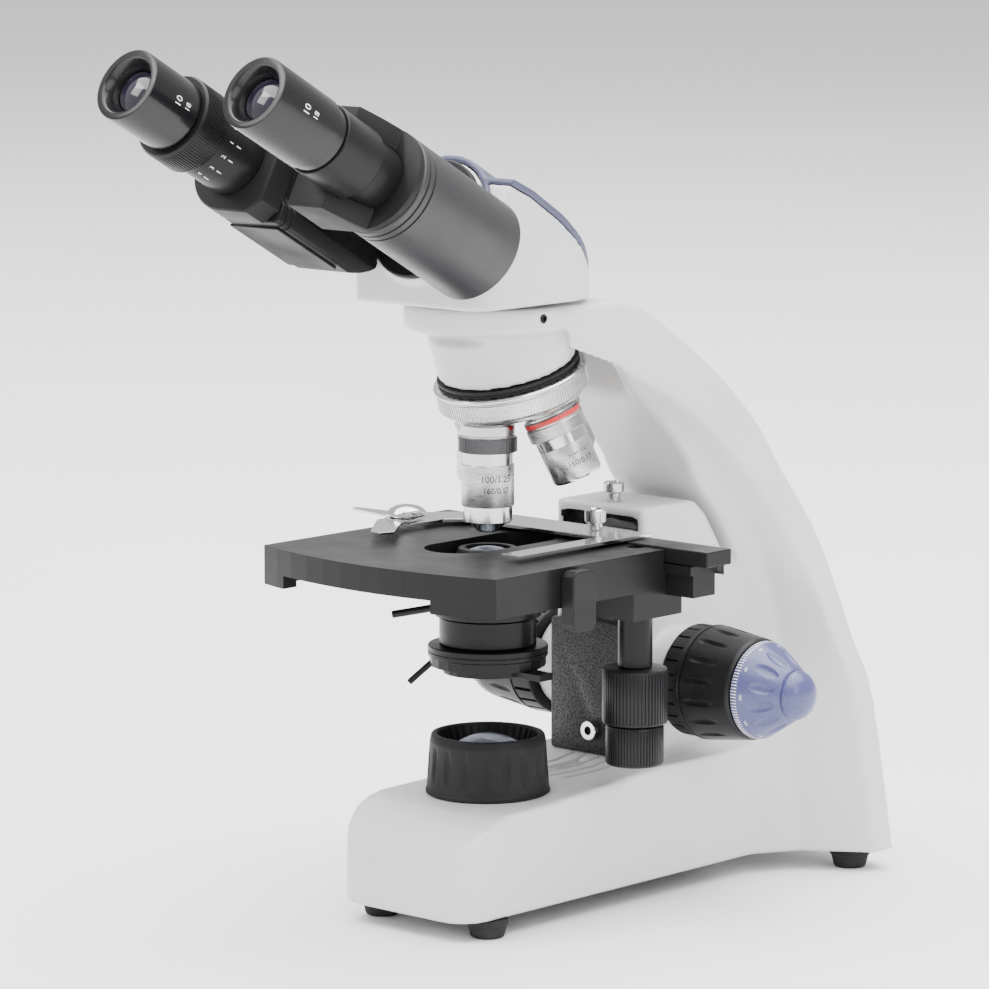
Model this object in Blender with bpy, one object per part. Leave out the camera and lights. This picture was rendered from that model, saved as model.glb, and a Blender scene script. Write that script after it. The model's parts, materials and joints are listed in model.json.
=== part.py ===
"""Binocular laboratory microscope with a quadruple nosepiece, a mechanical stage and a lit base.

Lengths are millimetres and angles degrees until MM turns them into Blender's metres.
+Z is up and the user sits on the -Y side. Every shape is placed from the optical axis at table
height, an empty that stands AXIS_Y behind the middle of the whole object.
"""

import math

import bmesh
import bpy
from mathutils import Matrix, Vector

MM = 0.001
GAP = 0.3
AXIS_Y = -8.1

# Heights on the optical axis.
FOOT_HEIGHT = 8.0
BASE_TOP = 52.0
STAGE_TOP = 157.1
OBJECTIVE_TIP = 162.2
PARFOCAL = 45.0
ARM_TOP = 258.0
HEAD_BOTTOM = 260.0

# Base and stand.
TONGUE_HALF = 37.7
TONGUE_FRONT = -55.0
BLOCK_HALF = 25.0
BLOCK_FRONT = 70.0
BLOCK_TOP = 166.0
STOP_Y = 80.0
NOSE_RADIUS = 35.2
FOCUS_AXIS_Y = 91.0
FOCUS_AXIS_Z = 91.5
BOSS_END = 36.5

# Nosepiece.
TURRET_TILT = 17.0
TURRET_PITCH_RADIUS = 18.5

# Binocular head: both eyepiece arms turn about one axis that leans with the tubes.
TUBE_TILT = 29.0
PIVOT_Y = -36.0
PIVOT_Z = 294.6
TUBE_SIDE = 35.2
TUBE_DROP = -12.6
ARM_RADIUS = 22.0
EYE_END = 147.0

# Slots that let the lamp's heat out of the base.
VENT_PITCH = 7.0

# Panel at the back and the axis of its rocker switch.
PANEL_Y = 189.0
SWITCH_Y = 186.0
SWITCH_Z = 34.0

# Stage drive column.
COLUMN_X = 52.0
COLUMN_Y = 34.0

ROUND = 24
SMALL = 12


def clear_scene():
    for old in list(bpy.data.objects):
        bpy.data.objects.remove(old, do_unlink=True)
    axis = bpy.data.objects.new("optical_axis", None)
    axis.location.y = AXIS_Y * MM
    bpy.context.collection.objects.link(axis)


def finish_of(name, colour, roughness, metallic=0.0):
    made = bpy.data.materials.get(name)
    if made is None:
        made = bpy.data.materials.new(name)
        made.use_nodes = True
        shader = made.node_tree.nodes["Principled BSDF"]
        shader.inputs["Base Color"].default_value = (*colour, 1.0)
        shader.inputs["Roughness"].default_value = roughness
        shader.inputs["Metallic"].default_value = metallic
    return made


def white_enamel():
    return finish_of("white_enamel", (0.82, 0.81, 0.81), 0.42)


def black_anodised():
    return finish_of("black_anodised", (0.025, 0.025, 0.027), 0.38, 0.3)


def matte_black():
    return finish_of("matte_black", (0.02, 0.02, 0.021), 0.7)


def satin_grey():
    return finish_of("satin_grey", (0.09, 0.09, 0.092), 0.5, 0.4)


def chrome():
    return finish_of("chrome", (0.78, 0.78, 0.79), 0.14, 1.0)


def satin_steel():
    return finish_of("satin_steel", (0.62, 0.62, 0.61), 0.36, 1.0)


def blue_plastic():
    return finish_of("blue_plastic", (0.13, 0.14, 0.34), 0.4)


def rubber():
    return finish_of("rubber", (0.02, 0.02, 0.02), 0.85)


def glass():
    return finish_of("glass", (0.85, 0.88, 0.92), 0.05)


def frame_at(origin, x_axis, z_axis):
    """Matrix that places local geometry: local Z along z_axis, local X along x_axis."""
    z_unit = Vector(z_axis).normalized()
    x_unit = Vector(x_axis)
    x_unit = (x_unit - z_unit * x_unit.dot(z_unit)).normalized()
    y_unit = z_unit.cross(x_unit)
    turn = Matrix((x_unit, y_unit, z_unit)).transposed().to_4x4()
    return Matrix.Translation(Vector(origin) * MM) @ turn


def shifted(frame, x, y, z):
    return frame @ Matrix.Translation(Vector((x, y, z)) * MM)


UPRIGHT = Matrix.Identity(4)
SIDEWAYS = frame_at((0, FOCUS_AXIS_Y, FOCUS_AXIS_Z), (0, 1, 0), (1, 0, 0))
PIVOT = frame_at(
    (0, PIVOT_Y, PIVOT_Z),
    (1, 0, 0),
    (0, -math.cos(math.radians(TUBE_TILT)), math.sin(math.radians(TUBE_TILT))),
)
RIGHT_TUBE = shifted(PIVOT, TUBE_SIDE, TUBE_DROP, 0)
LEFT_TUBE = shifted(PIVOT, -TUBE_SIDE, TUBE_DROP, 0)


def add_object(name, mesh_data, finish, frame=UPRIGHT):
    made = bpy.data.objects.new(name, mesh_data)
    bpy.context.collection.objects.link(made)
    made.parent = bpy.data.objects["optical_axis"]
    made.matrix_basis = frame
    made.data.materials.append(finish)
    return made


def solid_from(name, points, faces, finish, frame=UPRIGHT, smooth_angle=35):
    data = bpy.data.meshes.new(name)
    data.from_pydata([Vector(point) * MM for point in points], [], faces)
    shape = bmesh.new()
    shape.from_mesh(data)
    bmesh.ops.recalc_face_normals(shape, faces=shape.faces)
    shape.to_mesh(data)
    shape.free()
    data.shade_smooth()
    data.set_sharp_from_angle(angle=math.radians(smooth_angle))
    return add_object(name, data, finish, frame)


def turned(name, profile, finish, frame=UPRIGHT, sides=ROUND):
    """Revolve (radius, height) points about local Z.

    A profile that starts and ends on the axis makes a solid; any other profile is a closed loop.
    """
    on_axis = profile[0][0] == 0 and profile[-1][0] == 0
    points = []
    rows = []
    for radius, height in profile:
        if radius == 0:
            rows.append([len(points)])
            points.append((0, 0, height))
            continue
        rows.append(list(range(len(points), len(points) + sides)))
        for step in range(sides):
            angle = math.tau * step / sides
            points.append((radius * math.cos(angle), radius * math.sin(angle), height))
    pairs = list(zip(rows, rows[1:]))
    if not on_axis:
        pairs.append((rows[-1], rows[0]))
    faces = []
    for upper, lower in pairs:
        for step in range(sides):
            after = (step + 1) % sides
            ring = [upper[step % len(upper)], upper[after % len(upper)]]
            ring += [lower[after % len(lower)], lower[step % len(lower)]]
            faces.append(list(dict.fromkeys(ring)))
    return solid_from(name, points, faces, finish, frame)


def rod(name, radius, low, high, finish, frame=UPRIGHT, sides=SMALL):
    return turned(name, [(0, high), (radius, high), (radius, low), (0, low)], finish, frame, sides)


def slab(name, outline, low, high, finish, frame=UPRIGHT):
    """Extrude a closed outline of (x, y) points from height low to height high."""
    count = len(outline)
    points = [(x, y, low) for x, y in outline] + [(x, y, high) for x, y in outline]
    faces = [list(range(count - 1, -1, -1)), list(range(count, 2 * count))]
    for step in range(count):
        after = (step + 1) % count
        faces.append([step, after, after + count, step + count])
    return solid_from(name, points, faces, finish, frame)


def block(name, x_span, y_span, z_span, finish, frame=UPRIGHT):
    (x_low, x_high), (y_low, y_high) = x_span, y_span
    outline = [(x_low, y_low), (x_high, y_low), (x_high, y_high), (x_low, y_high)]
    return slab(name, outline, z_span[0], z_span[1], finish, frame)


def arc(centre, radius, start, end, steps):
    points = []
    for step in range(steps + 1):
        angle = math.radians(start + (end - start) * step / steps)
        points.append((centre[0] + radius * math.cos(angle), centre[1] + radius * math.sin(angle)))
    return points


def rounded_outline(x_low, x_high, y_low, y_high, radius, steps=5):
    outline = arc((x_high - radius, y_low + radius), radius, -90, 0, steps)
    outline += arc((x_high - radius, y_high - radius), radius, 0, 90, steps)
    outline += arc((x_low + radius, y_high - radius), radius, 90, 180, steps)
    outline += arc((x_low + radius, y_low + radius), radius, 180, 270, steps)
    return outline


def boolean(target, other, operation):
    step = target.modifiers.new(f"{operation.lower()} {other.name}", "BOOLEAN")
    step.operation = operation
    step.object = other
    other.hide_render = True
    other.display_type = "WIRE"
    other.name = f"tool {other.name}"
    return target


def join(target, *others):
    for other in others:
        boolean(target, other, "UNION")
    return target


def cut(target, *others):
    for other in others:
        boolean(target, other, "DIFFERENCE")
    return target


def bevelled(target, width, segments=2, angle=40):
    step = target.modifiers.new("edge rounding", "BEVEL")
    step.width = width * MM
    step.segments = segments
    step.limit_method = "ANGLE"
    step.angle_limit = math.radians(angle)
    return target


# ---------------------------------------------------------------- stand

# Stations along the arch, from under the head down to the table. Each gives the inner front
# edge, the inner edge of the side band and its outer edge as (half width, y, z), and how far the
# back bulges out between its two edges.
ARCH_STATIONS = [
    ((25, 20, 248), (34.6, 12, 238), (34.6, 12, ARM_TOP), (0,)),
    ((25, 45, 244), (34.8, 34, 229.5), (34.8, 40, ARM_TOP), (0,)),
    ((25, 55, 229), (35, 43, 226), (35, 52, 256), (0.5,)),
    ((25, 61, 217), (35, 50, 222.8), (35, 61, 252.5), (2,)),
    ((25, 74.4, 206.8), (35, 73.1, 213.3), (35, 83.3, 239.2), (4,)),
    ((25, 88.2, 195.1), (35, 94.1, 201), (35, 111.2, 219.6), (5,)),
    ((25, 98.9, 183.7), (36, 117.2, 182), (35.5, 134.4, 198.3), (6,)),
    ((25, 106, 172), (38, 136.5, 162), (37, 150, 176), (7,)),
    ((25, 120.6, 155.5), (42, 149.7, 141), (41, 167.6, 149.5), (8,)),
    ((25, 133, 134), (49, 155.6, 125), (49, 173.5, 124), (9,)),
    ((26, 136.6, 111), (56, 158.4, 107), (56, 178, 99), (10,)),
    ((31, 134, 76), (66, 163.2, 76), (66, 180, 74), (12,)),
    ((37.7, 128.6, FOOT_HEIGHT), (75.4, 165.8, FOOT_HEIGHT), (77, 181, FOOT_HEIGHT), (13,)),
]
ARCH_STEPS = 3


def catmull(before, start, end, after, part):
    """Point of a smooth curve through start and end at a fraction part of the way."""
    values = []
    for a, b, c, d in zip(before, start, end, after):
        slope = (c - a) / 2 * part + (2 * a - 5 * b + 4 * c - d) / 2 * part**2
        values.append(b + slope + (3 * b - a - 3 * c + d) / 2 * part**3)
    return tuple(values)


def smooth_rows(rows, steps):
    """Catmull-Rom points along each column of rows, steps to a span."""
    result = []
    last = len(rows) - 1
    for span in range(last):
        for step in range(steps):
            part = step / steps
            row = []
            for column in range(len(rows[0])):
                before = rows[max(span - 1, 0)][column]
                after = rows[min(span + 2, last)][column]
                start, end = rows[span][column], rows[span + 1][column]
                row.append(catmull(before, start, end, after, part))
            result.append(row)
    result.append(list(rows[-1]))
    return result


def arch_ring(inner, band, outer, bulge):
    """Right half of one cross-section of the arch, mirrored to a full ring."""
    outer = (outer[0], outer[1], min(outer[2], ARM_TOP))
    out = Vector((0, outer[1] - band[1], outer[2] - band[2])).normalized() * bulge[0]
    hollow = 0.16 * (band[0] - inner[0])
    valley = (
        0.55 * inner[0] + 0.45 * band[0] - hollow,
        0.45 * inner[1] + 0.55 * band[1],
        0.5 * (inner[2] + band[2]),
    )
    lip = [0.12 * a + 0.88 * b for a, b in zip(outer, band)]
    heel = [0.12 * a + 0.88 * b for a, b in zip(band, outer)]
    right = [(0.0, outer[1] + out.y, outer[2] + out.z)]
    right.append((0.4 * outer[0], outer[1] + 0.84 * out.y, outer[2] + 0.84 * out.z))
    right.append((0.75 * outer[0], outer[1] + 0.45 * out.y, outer[2] + 0.45 * out.z))
    right.append((0.96 * outer[0], outer[1], outer[2]))
    right += [tuple(heel), tuple(lip), valley, tuple(inner)]
    front = (0.0, inner[1] - 1.0, inner[2])
    left = [(-x, y, z) for x, y, z in right[:0:-1]]
    return right + [front] + left


def arch():
    rings = [arch_ring(*row) for row in smooth_rows(ARCH_STATIONS, ARCH_STEPS)]
    count = len(rings[0])
    points = [point for ring in rings for point in ring]
    faces = [list(range(count)), list(range(len(points) - 1, len(points) - count - 1, -1))]
    for row in range(len(rings) - 1):
        for step in range(count):
            after = (step + 1) % count
            first = row * count
            faces.append([first + step, first + after, first + count + after, first + count + step])
    return solid_from("arch", points, faces, white_enamel())


def side_profile(name, profile, half_width, finish):
    """Extrude a (y, z) profile across the object, from -half_width to +half_width."""
    frame = frame_at((0, 0, 0), (0, 1, 0), (1, 0, 0))
    return slab(name, profile, -half_width, half_width, finish, frame)


def tongue():
    profile = [(TONGUE_FRONT, FOOT_HEIGHT), (TONGUE_FRONT + 0.6, 18)]
    for step in range(1, 7):
        angle = math.radians(15 * step)
        profile.append((-27 - 27.4 * math.cos(angle), 18 + 33.2 * math.sin(angle)))
    profile += [(0, BASE_TOP), (66, 57), (138, 58), (138, FOOT_HEIGHT)]
    body = side_profile("tongue", profile, TONGUE_HALF, white_enamel())
    plan = arc((TONGUE_HALF - 14, TONGUE_FRONT + 14), 14, -90, 0, 8)
    plan += [(TONGUE_HALF, 145), (-TONGUE_HALF, 145)]
    plan += arc((14 - TONGUE_HALF, TONGUE_FRONT + 14), 14, 180, 270, 8)
    plan_prism = slab("tongue plan", plan, 0, 80, white_enamel())
    boolean(body, plan_prism, "INTERSECT")
    return bevelled(body, 5, 3, 50)


def focus_block():
    body = slab(
        "focus block",
        rounded_outline(-BLOCK_HALF, BLOCK_HALF, BLOCK_FRONT, 150, 3, 3),
        40,
        BLOCK_TOP,
        white_enamel(),
    )
    sloped_back = side_profile("back slope", [(100, 170), (112, 160), (160, 90), (160, 170)], 40, white_enamel())
    return cut(body, sloped_back)


def turret_frame():
    tilt = math.radians(TURRET_TILT)
    shoulder_z = OBJECTIVE_TIP + PARFOCAL
    centre_y = TURRET_PITCH_RADIUS * math.cos(tilt)
    centre_z = shoulder_z + TURRET_PITCH_RADIUS * math.sin(tilt)
    return frame_at((0, centre_y, centre_z), (1, 0, 0), (0, -math.sin(tilt), math.cos(tilt)))


def stand_casting():
    stand = arch()
    stand.name = "stand_casting"
    join(stand, tongue(), focus_block())
    rim_low = ARM_TOP - 11
    nose = turned(
        "nose",
        [(0, ARM_TOP), (NOSE_RADIUS - 1, ARM_TOP), (NOSE_RADIUS, ARM_TOP - 1)]
        + [(NOSE_RADIUS, rim_low + 2), (NOSE_RADIUS - 2, rim_low), (0, rim_low)],
        white_enamel(),
    )
    cone = turned(
        "nosepiece cone",
        [(0, 40), (30.6, 40), (29.4, 19.2), (0, 19.2)],
        white_enamel(),
        turret_frame(),
    )
    join(stand, nose, cone)
    side_boss = rod("side boss", 21, -BOSS_END, BOSS_END, white_enamel(), SIDEWAYS, ROUND)
    join(stand, side_boss)
    lamp_seat = rod("lamp seat", 26.9, BASE_TOP - 0.6, 70, white_enamel(), sides=ROUND)
    cut(stand, lamp_seat)
    seat = rod("head seat", 24.5, 251, 270, white_enamel(), sides=ROUND)
    light_path = rod("light path", 11, 200, 255, white_enamel(), sides=ROUND)
    screw_hole = rod(
        "lock screw hole",
        2.2,
        20,
        45,
        white_enamel(),
        frame_at((0, -3, 254), (0, 1, 0), (1, 0, 0)),
        16,
    )
    cut(stand, seat, light_path, screw_hole)
    slide_way = block("slide way", (-14.2, 14.2), (60, 83), (80, 158), white_enamel())
    window = block("window", (-21, 21), (60, 77), (112, 161.5), white_enamel())
    shaft_bore = rod("shaft bore", 8.4, -60, 60, white_enamel(), SIDEWAYS)
    stop_hole = rod("stop hole", 2.3, 155, 175, white_enamel(), shifted(UPRIGHT, 0, STOP_Y, 0))
    plate_screw = rod(
        "plate screw hole",
        2.3,
        -80,
        -60,
        white_enamel(),
        frame_at((0, 0, 68), (1, 0, 0), (0, -1, 0)),
        16,
    )
    cut(stand, slide_way, window, shaft_bore, stop_hole, plate_screw)
    cavity = block("base cavity", (-31, 31), (-34, 118), (0, 40), white_enamel())
    lamp_bore = rod("lamp bore", 20.4, 30, 60, white_enamel(), sides=ROUND)
    panel = block("back panel", (-28, 28), (PANEL_Y, 205), (20, 48), white_enamel())
    inlet_hole = block("inlet hole", (-24.3, -7.7), (172, 194), (25.7, 42.3), white_enamel())
    switch_hole = block("switch hole", (8.7, 21.3), (172, 194), (24.7, 43.3), white_enamel())
    dial_bore = rod(
        "dial bore", 3.4, -45, -25, white_enamel(), frame_at((0, 60, 30), (0, 1, 0), (1, 0, 0)), 16
    )
    vents = []
    for row in range(5):
        x = VENT_PITCH * (row - 2)
        outline = rounded_outline(x - 1.4, x + 1.4, 36, 60, 1.3, 2)
        vents.append(slab(f"vent {row}", outline, 50, 70, white_enamel()))
    return cut(stand, cavity, lamp_bore, panel, inlet_hole, switch_hole, dial_bore, *vents)


def base_plate():
    return slab(
        "base_plate",
        rounded_outline(-30.6, 30.6, -33.6, 117.6, 4, 3),
        FOOT_HEIGHT + 0.2,
        FOOT_HEIGHT + 2,
        finish_of("plate_steel", (0.2, 0.2, 0.2), 0.5, 0.8),
    )


def feet():
    top = FOOT_HEIGHT - GAP
    profile = [(0, top), (8.8, top), (8.6, 5.2), (7.4, 1.2), (6.4, 0), (0, 0)]
    places = {
        "foot_front_left": (-30, -33),
        "foot_front_right": (30, -33),
        "foot_rear_left": (-59, 171),
        "foot_rear_right": (59, 171),
    }
    for name, (x, y) in places.items():
        turned(name, profile, rubber(), shifted(UPRIGHT, x, y, 0), SMALL)


def front_cover():
    plate = slab(
        "front_cover_plate",
        rounded_outline(-24, 24, 57.5, 115, 1.5, 2),
        BLOCK_FRONT - 3.4,
        BLOCK_FRONT - GAP,
        matte_black(),
        frame_at((0, 0, 0), (-1, 0, 0), (0, 1, 0)),
    )
    screw_frame = frame_at((0, 0, 68), (1, 0, 0), (0, -1, 0))
    hole = rod("cover screw hole", 2.3, -72, -60, matte_black(), screw_frame, 16)
    cut(plate, hole)
    screw = turned(
        "front_cover_screw",
        [(0, -65), (2, -65), (2, -63.4), (4, -63.4), (4.2, -64), (4.2, -66.3), (1.9, -66.3)]
        + [(1.9, -76), (0, -76)],
        chrome(),
        screw_frame,
        SMALL,
    )
    return plate, screw


def head_lock_screw():
    return turned(
        "head_lock_screw",
        [(0, 33), (0.9, 33), (1.1, 34.2), (1.7, 34.2), (1.9, 33.8), (1.9, 25), (0, 25)],
        black_anodised(),
        frame_at((0, -3, 254), (0, 1, 0), (1, 0, 0)),
        16,
    )


# ---------------------------------------------------------------- light in the base


def illuminator():
    base_height = BASE_TOP - 0.9
    turned(
        "illuminator_housing",
        [(24.2, 76), (23.6, 76.8), (21.4, 76.8), (20.6, 76), (18.8, 67), (18.8, 57), (16.4, 57)]
        + [(16.4, 34), (20, 34), (20, base_height + 0.8), (26.2, base_height + 0.8)],
        matte_black(),
    )
    dome = [(0, 71.5)]
    for step in range(1, 5):
        angle = math.radians(20 * step)
        dome.append((17.6 * math.sin(angle), 59.5 + 12 * math.cos(angle)))
    turned(
        "collector_lens",
        dome + [(18.3, 59.4), (18.3, 57.4), (0, 57.4)],
        glass(),
    )
    rod("led_board", 15.5, 36, 38, finish_of("circuit_board", (0.05, 0.2, 0.09), 0.5), sides=SMALL)


def electrics():
    """Supply socket and rocker switch in the panel at the back, dimmer on the left side."""
    finish = matte_black()
    socket_frame = frame_at((-16, PANEL_Y + 2, 34), (-1, 0, 0), (0, 1, 0))
    inlet = block("dc_inlet", (-8, 8), (-8, 8), (-14, 0), finish, socket_frame)
    cut(inlet, rod("socket hole", 3.4, -9, 4, finish, socket_frame))
    join(inlet, rod("socket pin", 0.9, -10, -1, chrome(), socket_frame, 8))
    rocker = [(-8, 0), (8, 0), (8, 5.4), (0, 3.6), (-8, 4.8)]
    rocker_frame = frame_at((9, SWITCH_Y, SWITCH_Z), (0, 0, -1), (1, 0, 0))
    slab("power_switch", rocker, 0.3, 11.7, finish, rocker_frame)
    dial = [(0, -47), (8.4, -47), (9, -46), (9, -38.2), (3.1, -38.2), (3.1, -28), (0, -28)]
    turned(
        "brightness_dial",
        dial,
        matte_black(),
        frame_at((0, 60, 30), (0, 1, 0), (1, 0, 0)),
        SMALL,
    )


# ---------------------------------------------------------------- focus drive


def focus_drive():
    """Coarse knobs on a hollow shaft, fine knobs on a rod through it, tension collar on the right."""
    collar_end = BOSS_END + 9.7
    shaft_left = -BOSS_END + GAP
    turned(
        "coarse_shaft",
        [(7.9, shaft_left), (7.9, collar_end), (3.4, collar_end), (3.4, shaft_left)],
        satin_steel(),
        SIDEWAYS,
        SMALL,
    )
    turned(
        "tension_collar",
        [(23.4, 36.8), (24, 37.6), (24, 45.4), (23.4, collar_end), (8.6, collar_end), (8.6, 36.8)],
        matte_black(),
        SIDEWAYS,
    )
    for side, name in ((1, "right"), (-1, "left")):
        frame = frame_at((0, FOCUS_AXIS_Y, FOCUS_AXIS_Z), (0, 1, 0), (side, 0, 0))
        inner = collar_end + GAP if side > 0 else BOSS_END + GAP
        outer = [(24.2, inner), (24.7, inner + 1), (24.6, 48), (21.8, 72), (20.6, 72.7)]
        recess = [(18, 72.7), (18, 66), (3.6, 66), (3.6, inner)]
        turned(f"coarse_knob_{name}", outer + recess, matte_black(), frame)
        shaft_end = 0.4 if side > 0 else 0.1
        cap = [(0, 101), (3.6, 100.6), (7.6, 98), (10.1, 93), (14, 87), (20.2, 76), (20.8, 74), (20.4, 73.1)]
        stem = [(17.4, 73.1), (17.4, 66.6), (3, 66.6), (3, shaft_end), (0, shaft_end)]
        turned(f"fine_knob_{name}", cap + stem, blue_plastic(), frame)


def focus_slide():
    slide = block("focus_slide", (-13.6, 13.6), (77, 81), (84, 155), satin_steel())
    rack = block("rack", (-4, 4), (80, 82.3), (86, 154), satin_steel())
    return join(slide, rack)


def focus_stop():
    return turned(
        "focus_stop_screw",
        [(0, 174.4), (3.4, 174.4), (4.4, 173.6), (4.4, 170.2), (3, 169.4), (3, BLOCK_TOP + GAP)]
        + [(2, BLOCK_TOP + GAP), (2, 159.4), (0, 159.4)],
        chrome(),
        shifted(UPRIGHT, 0, STOP_Y, 0),
        SMALL,
    )


# ---------------------------------------------------------------- stage

CARRIER_LOW = 138.6
CARRIER_HIGH = 146.3
PLATE_LOW = STAGE_TOP - 7
SKIRT_LOW = STAGE_TOP - 16.4
SLEEVE_RADIUS = 18.4
FILTER_PIVOT_X = 28.4


def stage_carrier():
    outline = rounded_outline(-30, 28, -27, 40, 8, 4)
    carrier = slab("stage_carrier", outline, CARRIER_LOW, CARRIER_HIGH, black_anodised())
    neck = block("neck", (-12, 12), (35, 76.7), (CARRIER_LOW, CARRIER_HIGH), black_anodised())
    sleeve = rod("sleeve", 22.5, 132.4, 140, black_anodised(), sides=ROUND)
    join(carrier, neck, sleeve)
    for x in (-28, 22):
        guide = block("guide", (x, x + 4), (-25, 9), (CARRIER_HIGH - 1, PLATE_LOW - GAP), satin_steel())
        join(carrier, guide)
    bore = rod("sleeve bore", SLEEVE_RADIUS, 120, 150, black_anodised(), sides=ROUND)
    return cut(carrier, bore)


def front_edge(half, corner_y, middle_y, steps=12):
    """Shallow arc of the stage's front edge, from left to right."""
    sagitta = corner_y - middle_y
    radius = (half**2 + sagitta**2) / (2 * sagitta)
    spread = math.degrees(math.asin(half / radius))
    return arc((0, middle_y + radius), radius, -90 - spread, -90 + spread, steps)


def stage_plate():
    finish = black_anodised()
    front = front_edge(65.4, -66.5, -77)
    plate = slab("stage_plate", front + [(65.4, 36.6), (-65.4, 36.6)], PLATE_LOW, STAGE_TOP, finish)
    skirt = slab(
        "skirt", front + [(65.4, 18), (-65.4, 18)], SKIRT_LOW, PLATE_LOW + 1, finish
    )
    inside_front = front_edge(60.4, -60, -69.5)
    pocket = slab(
        "pocket",
        inside_front[:8] + [(34, -65), (34, 30), (-60.4, 30)],
        SKIRT_LOW - 1,
        PLATE_LOW,
        finish,
    )
    cut(skirt, pocket)
    shallow = block("shallow front", (-50, 36), (-90, -50), (SKIRT_LOW - 2, SKIRT_LOW + 5.5), finish)
    cut(skirt, shallow)
    ledge = block("ledge", (-65.4, 80), (36.4, 53), (147.4, 151.1), finish)
    ledge_front = block("ledge front", (-65.4, 65.4), (30, 37), (147.4, 151.1), finish)
    drive_box = block("drive box", (31, 65.4), (17.5, 48), (129, 151), finish)
    wing = block("wing", (60, 80), (38, 52), (138, 149), finish)
    join(plate, skirt, ledge, ledge_front, drive_box, wing)
    slot = slab("stage opening", rounded_outline(-15, 15, -32, 36, 14.9, 8), 120, 170, finish)
    shaft_way = rod("shaft way", 3.6, 120, 160, finish, shifted(UPRIGHT, COLUMN_X, COLUMN_Y, 0), 16)
    return cut(plate, slot, shaft_way)


def stage_side_bracket():
    outline = rounded_outline(-28, -14, 131, 156, 3.5, 4)
    frame = frame_at((0, 0, 0), (0, 1, 0), (1, 0, 0))
    return slab("stage_side_bracket", outline, 65.7, 72.6, matte_black(), frame)


def mechanical_stage():
    block("x_rail", (-72, 88), (37.2, 53), (151.5, 158), black_anodised())
    rear = [(45, 30), (45, 52), (-46, 52), (-66, 30), (-66, 2), (-46, 2), (-46, 22), (-38, 30)]
    holder = slab("slide_holder", [(35, -30), (45, -30)] + rear + [(35, 30)], 158.4, 160, chrome())
    pin_hole = rod("cap pin hole", 2.4, 150, 165, chrome(), shifted(UPRIGHT, -56, 10, 0), 16)
    cut(holder, pin_hole)
    claw = [(-33, -31), (-39, -30), (-57, -8), (-62, 6), (-90, 11.5), (-90, 14.5), (-61, 17)]
    claw += [(-51, 16), (-48, 4), (-46, -4), (-31, -24)]
    finger = slab("slide_finger", claw, 160.3, 161.5, chrome())
    finger_hole = rod("finger hole", 2.4, 150, 165, chrome(), shifted(UPRIGHT, -56, 10, 0), 16)
    cut(finger, finger_hole)
    cap = [(0, 166.6), (5, 166.3), (7.6, 165), (8.6, 163.2), (8.6, 161.8), (2, 161.8), (2, 158.2), (0, 158.2)]
    turned("finger_cap", cap, chrome(), shifted(UPRIGHT, -56, 10, 0), SMALL)
    thumb = [(0, 169), (3.6, 169), (4.5, 168.2), (4.5, 163.6), (3, 162.8), (3, 160.3), (0, 160.3)]
    turned("holder_screw", thumb, chrome(), shifted(UPRIGHT, 22, 43, 0), SMALL)
    block("vernier_scale", (58, 84), (53.3, 54.6), (146.5, 151), satin_steel())


def stage_drive():
    frame = shifted(UPRIGHT, COLUMN_X, COLUMN_Y, 0)
    turned(
        "drive_column",
        [(8.6, 128.7), (8.6, 105.4), (4.8, 105.4), (4.8, 128.7)],
        black_anodised(),
        frame,
        SMALL,
    )
    turned(
        "y_drive_knob",
        [(11.4, 105.1), (12.2, 104.3), (12.2, 81), (11.4, 80.2), (3.5, 80.2), (3.5, 120), (4.4, 120)]
        + [(4.4, 105.1)],
        matte_black(),
        frame,
        SMALL,
    )
    turned(
        "x_drive_knob",
        [(0, 150), (3, 150), (3, 79.8), (10, 79.8), (10.6, 79), (10.6, 65.2), (9.6, 64), (0, 64)],
        matte_black(),
        frame,
        SMALL,
    )


# ---------------------------------------------------------------- condenser


def condenser():
    finish = black_anodised()
    barrel = SLEEVE_RADIUS - 0.5
    body = turned(
        "condenser_body",
        [(12, 155.4), (13.8, 152), (13.8, 149.4), (barrel, 147), (barrel, 115), (25.2, 114.4)]
        + [(25.2, 110), (14, 110), (14, 144), (9.6, 149), (9.6, 155.4)],
        finish,
    )
    ear = block("filter ear", (20, 33), (-4, 4), (110, 114), finish)
    ear_bore = rod("ear bore", 14, 100, 120, finish, sides=ROUND)
    join(body, cut(ear, ear_bore))
    hinge_pin = shifted(UPRIGHT, FILTER_PIVOT_X, 0, 0)
    join(body, rod("filter pin", 1.5, 101.6, 112, chrome(), hinge_pin))
    turned(
        "condenser_lens",
        [(0, 155.9), (5, 155.4), (9.2, 153.6), (9.2, 151.2), (0, 151.2)],
        glass(),
        sides=SMALL,
    )
    ring = turned("condenser_lever", [(22.5, 132), (22.5, 127), (18.4, 127), (18.4, 132)], finish)
    join(ring, radial_rod("lever rod", 1.6, 20, 41, 129.5, 210, -0.2, chrome()))
    iris = turned("iris_ring", [(24.4, 109.7), (24.4, 106), (13, 106), (13, 109.7)], finish)
    join(iris, radial_rod("iris lever", 1.3, 22, 33, 108, 223, -0.9, finish))
    tray = turned("filter_holder", [(19, 105.7), (19, 102.7), (14, 102.7), (14, 105.7)], finish)
    join(tray, block("filter lug", (17, 33), (-4, 4), (102.7, 105.7), finish))
    return cut(tray, rod("lug hole", 1.8, 100, 108, finish, hinge_pin))


def radial_rod(name, radius, start, end, height, heading, slope, finish):
    """Rod that leaves the optical axis towards heading degrees, from radius start to radius end."""
    angle = math.radians(heading)
    outward = Vector((math.cos(angle), math.sin(angle), 0))
    origin = outward * start + Vector((0, 0, height))
    length = (end - start) * math.hypot(1, slope)
    frame = frame_at(origin, (0, 0, 1), outward + Vector((0, 0, slope)))
    return rod(name, radius, 0, length, finish, frame)


# ---------------------------------------------------------------- nosepiece and objectives


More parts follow.
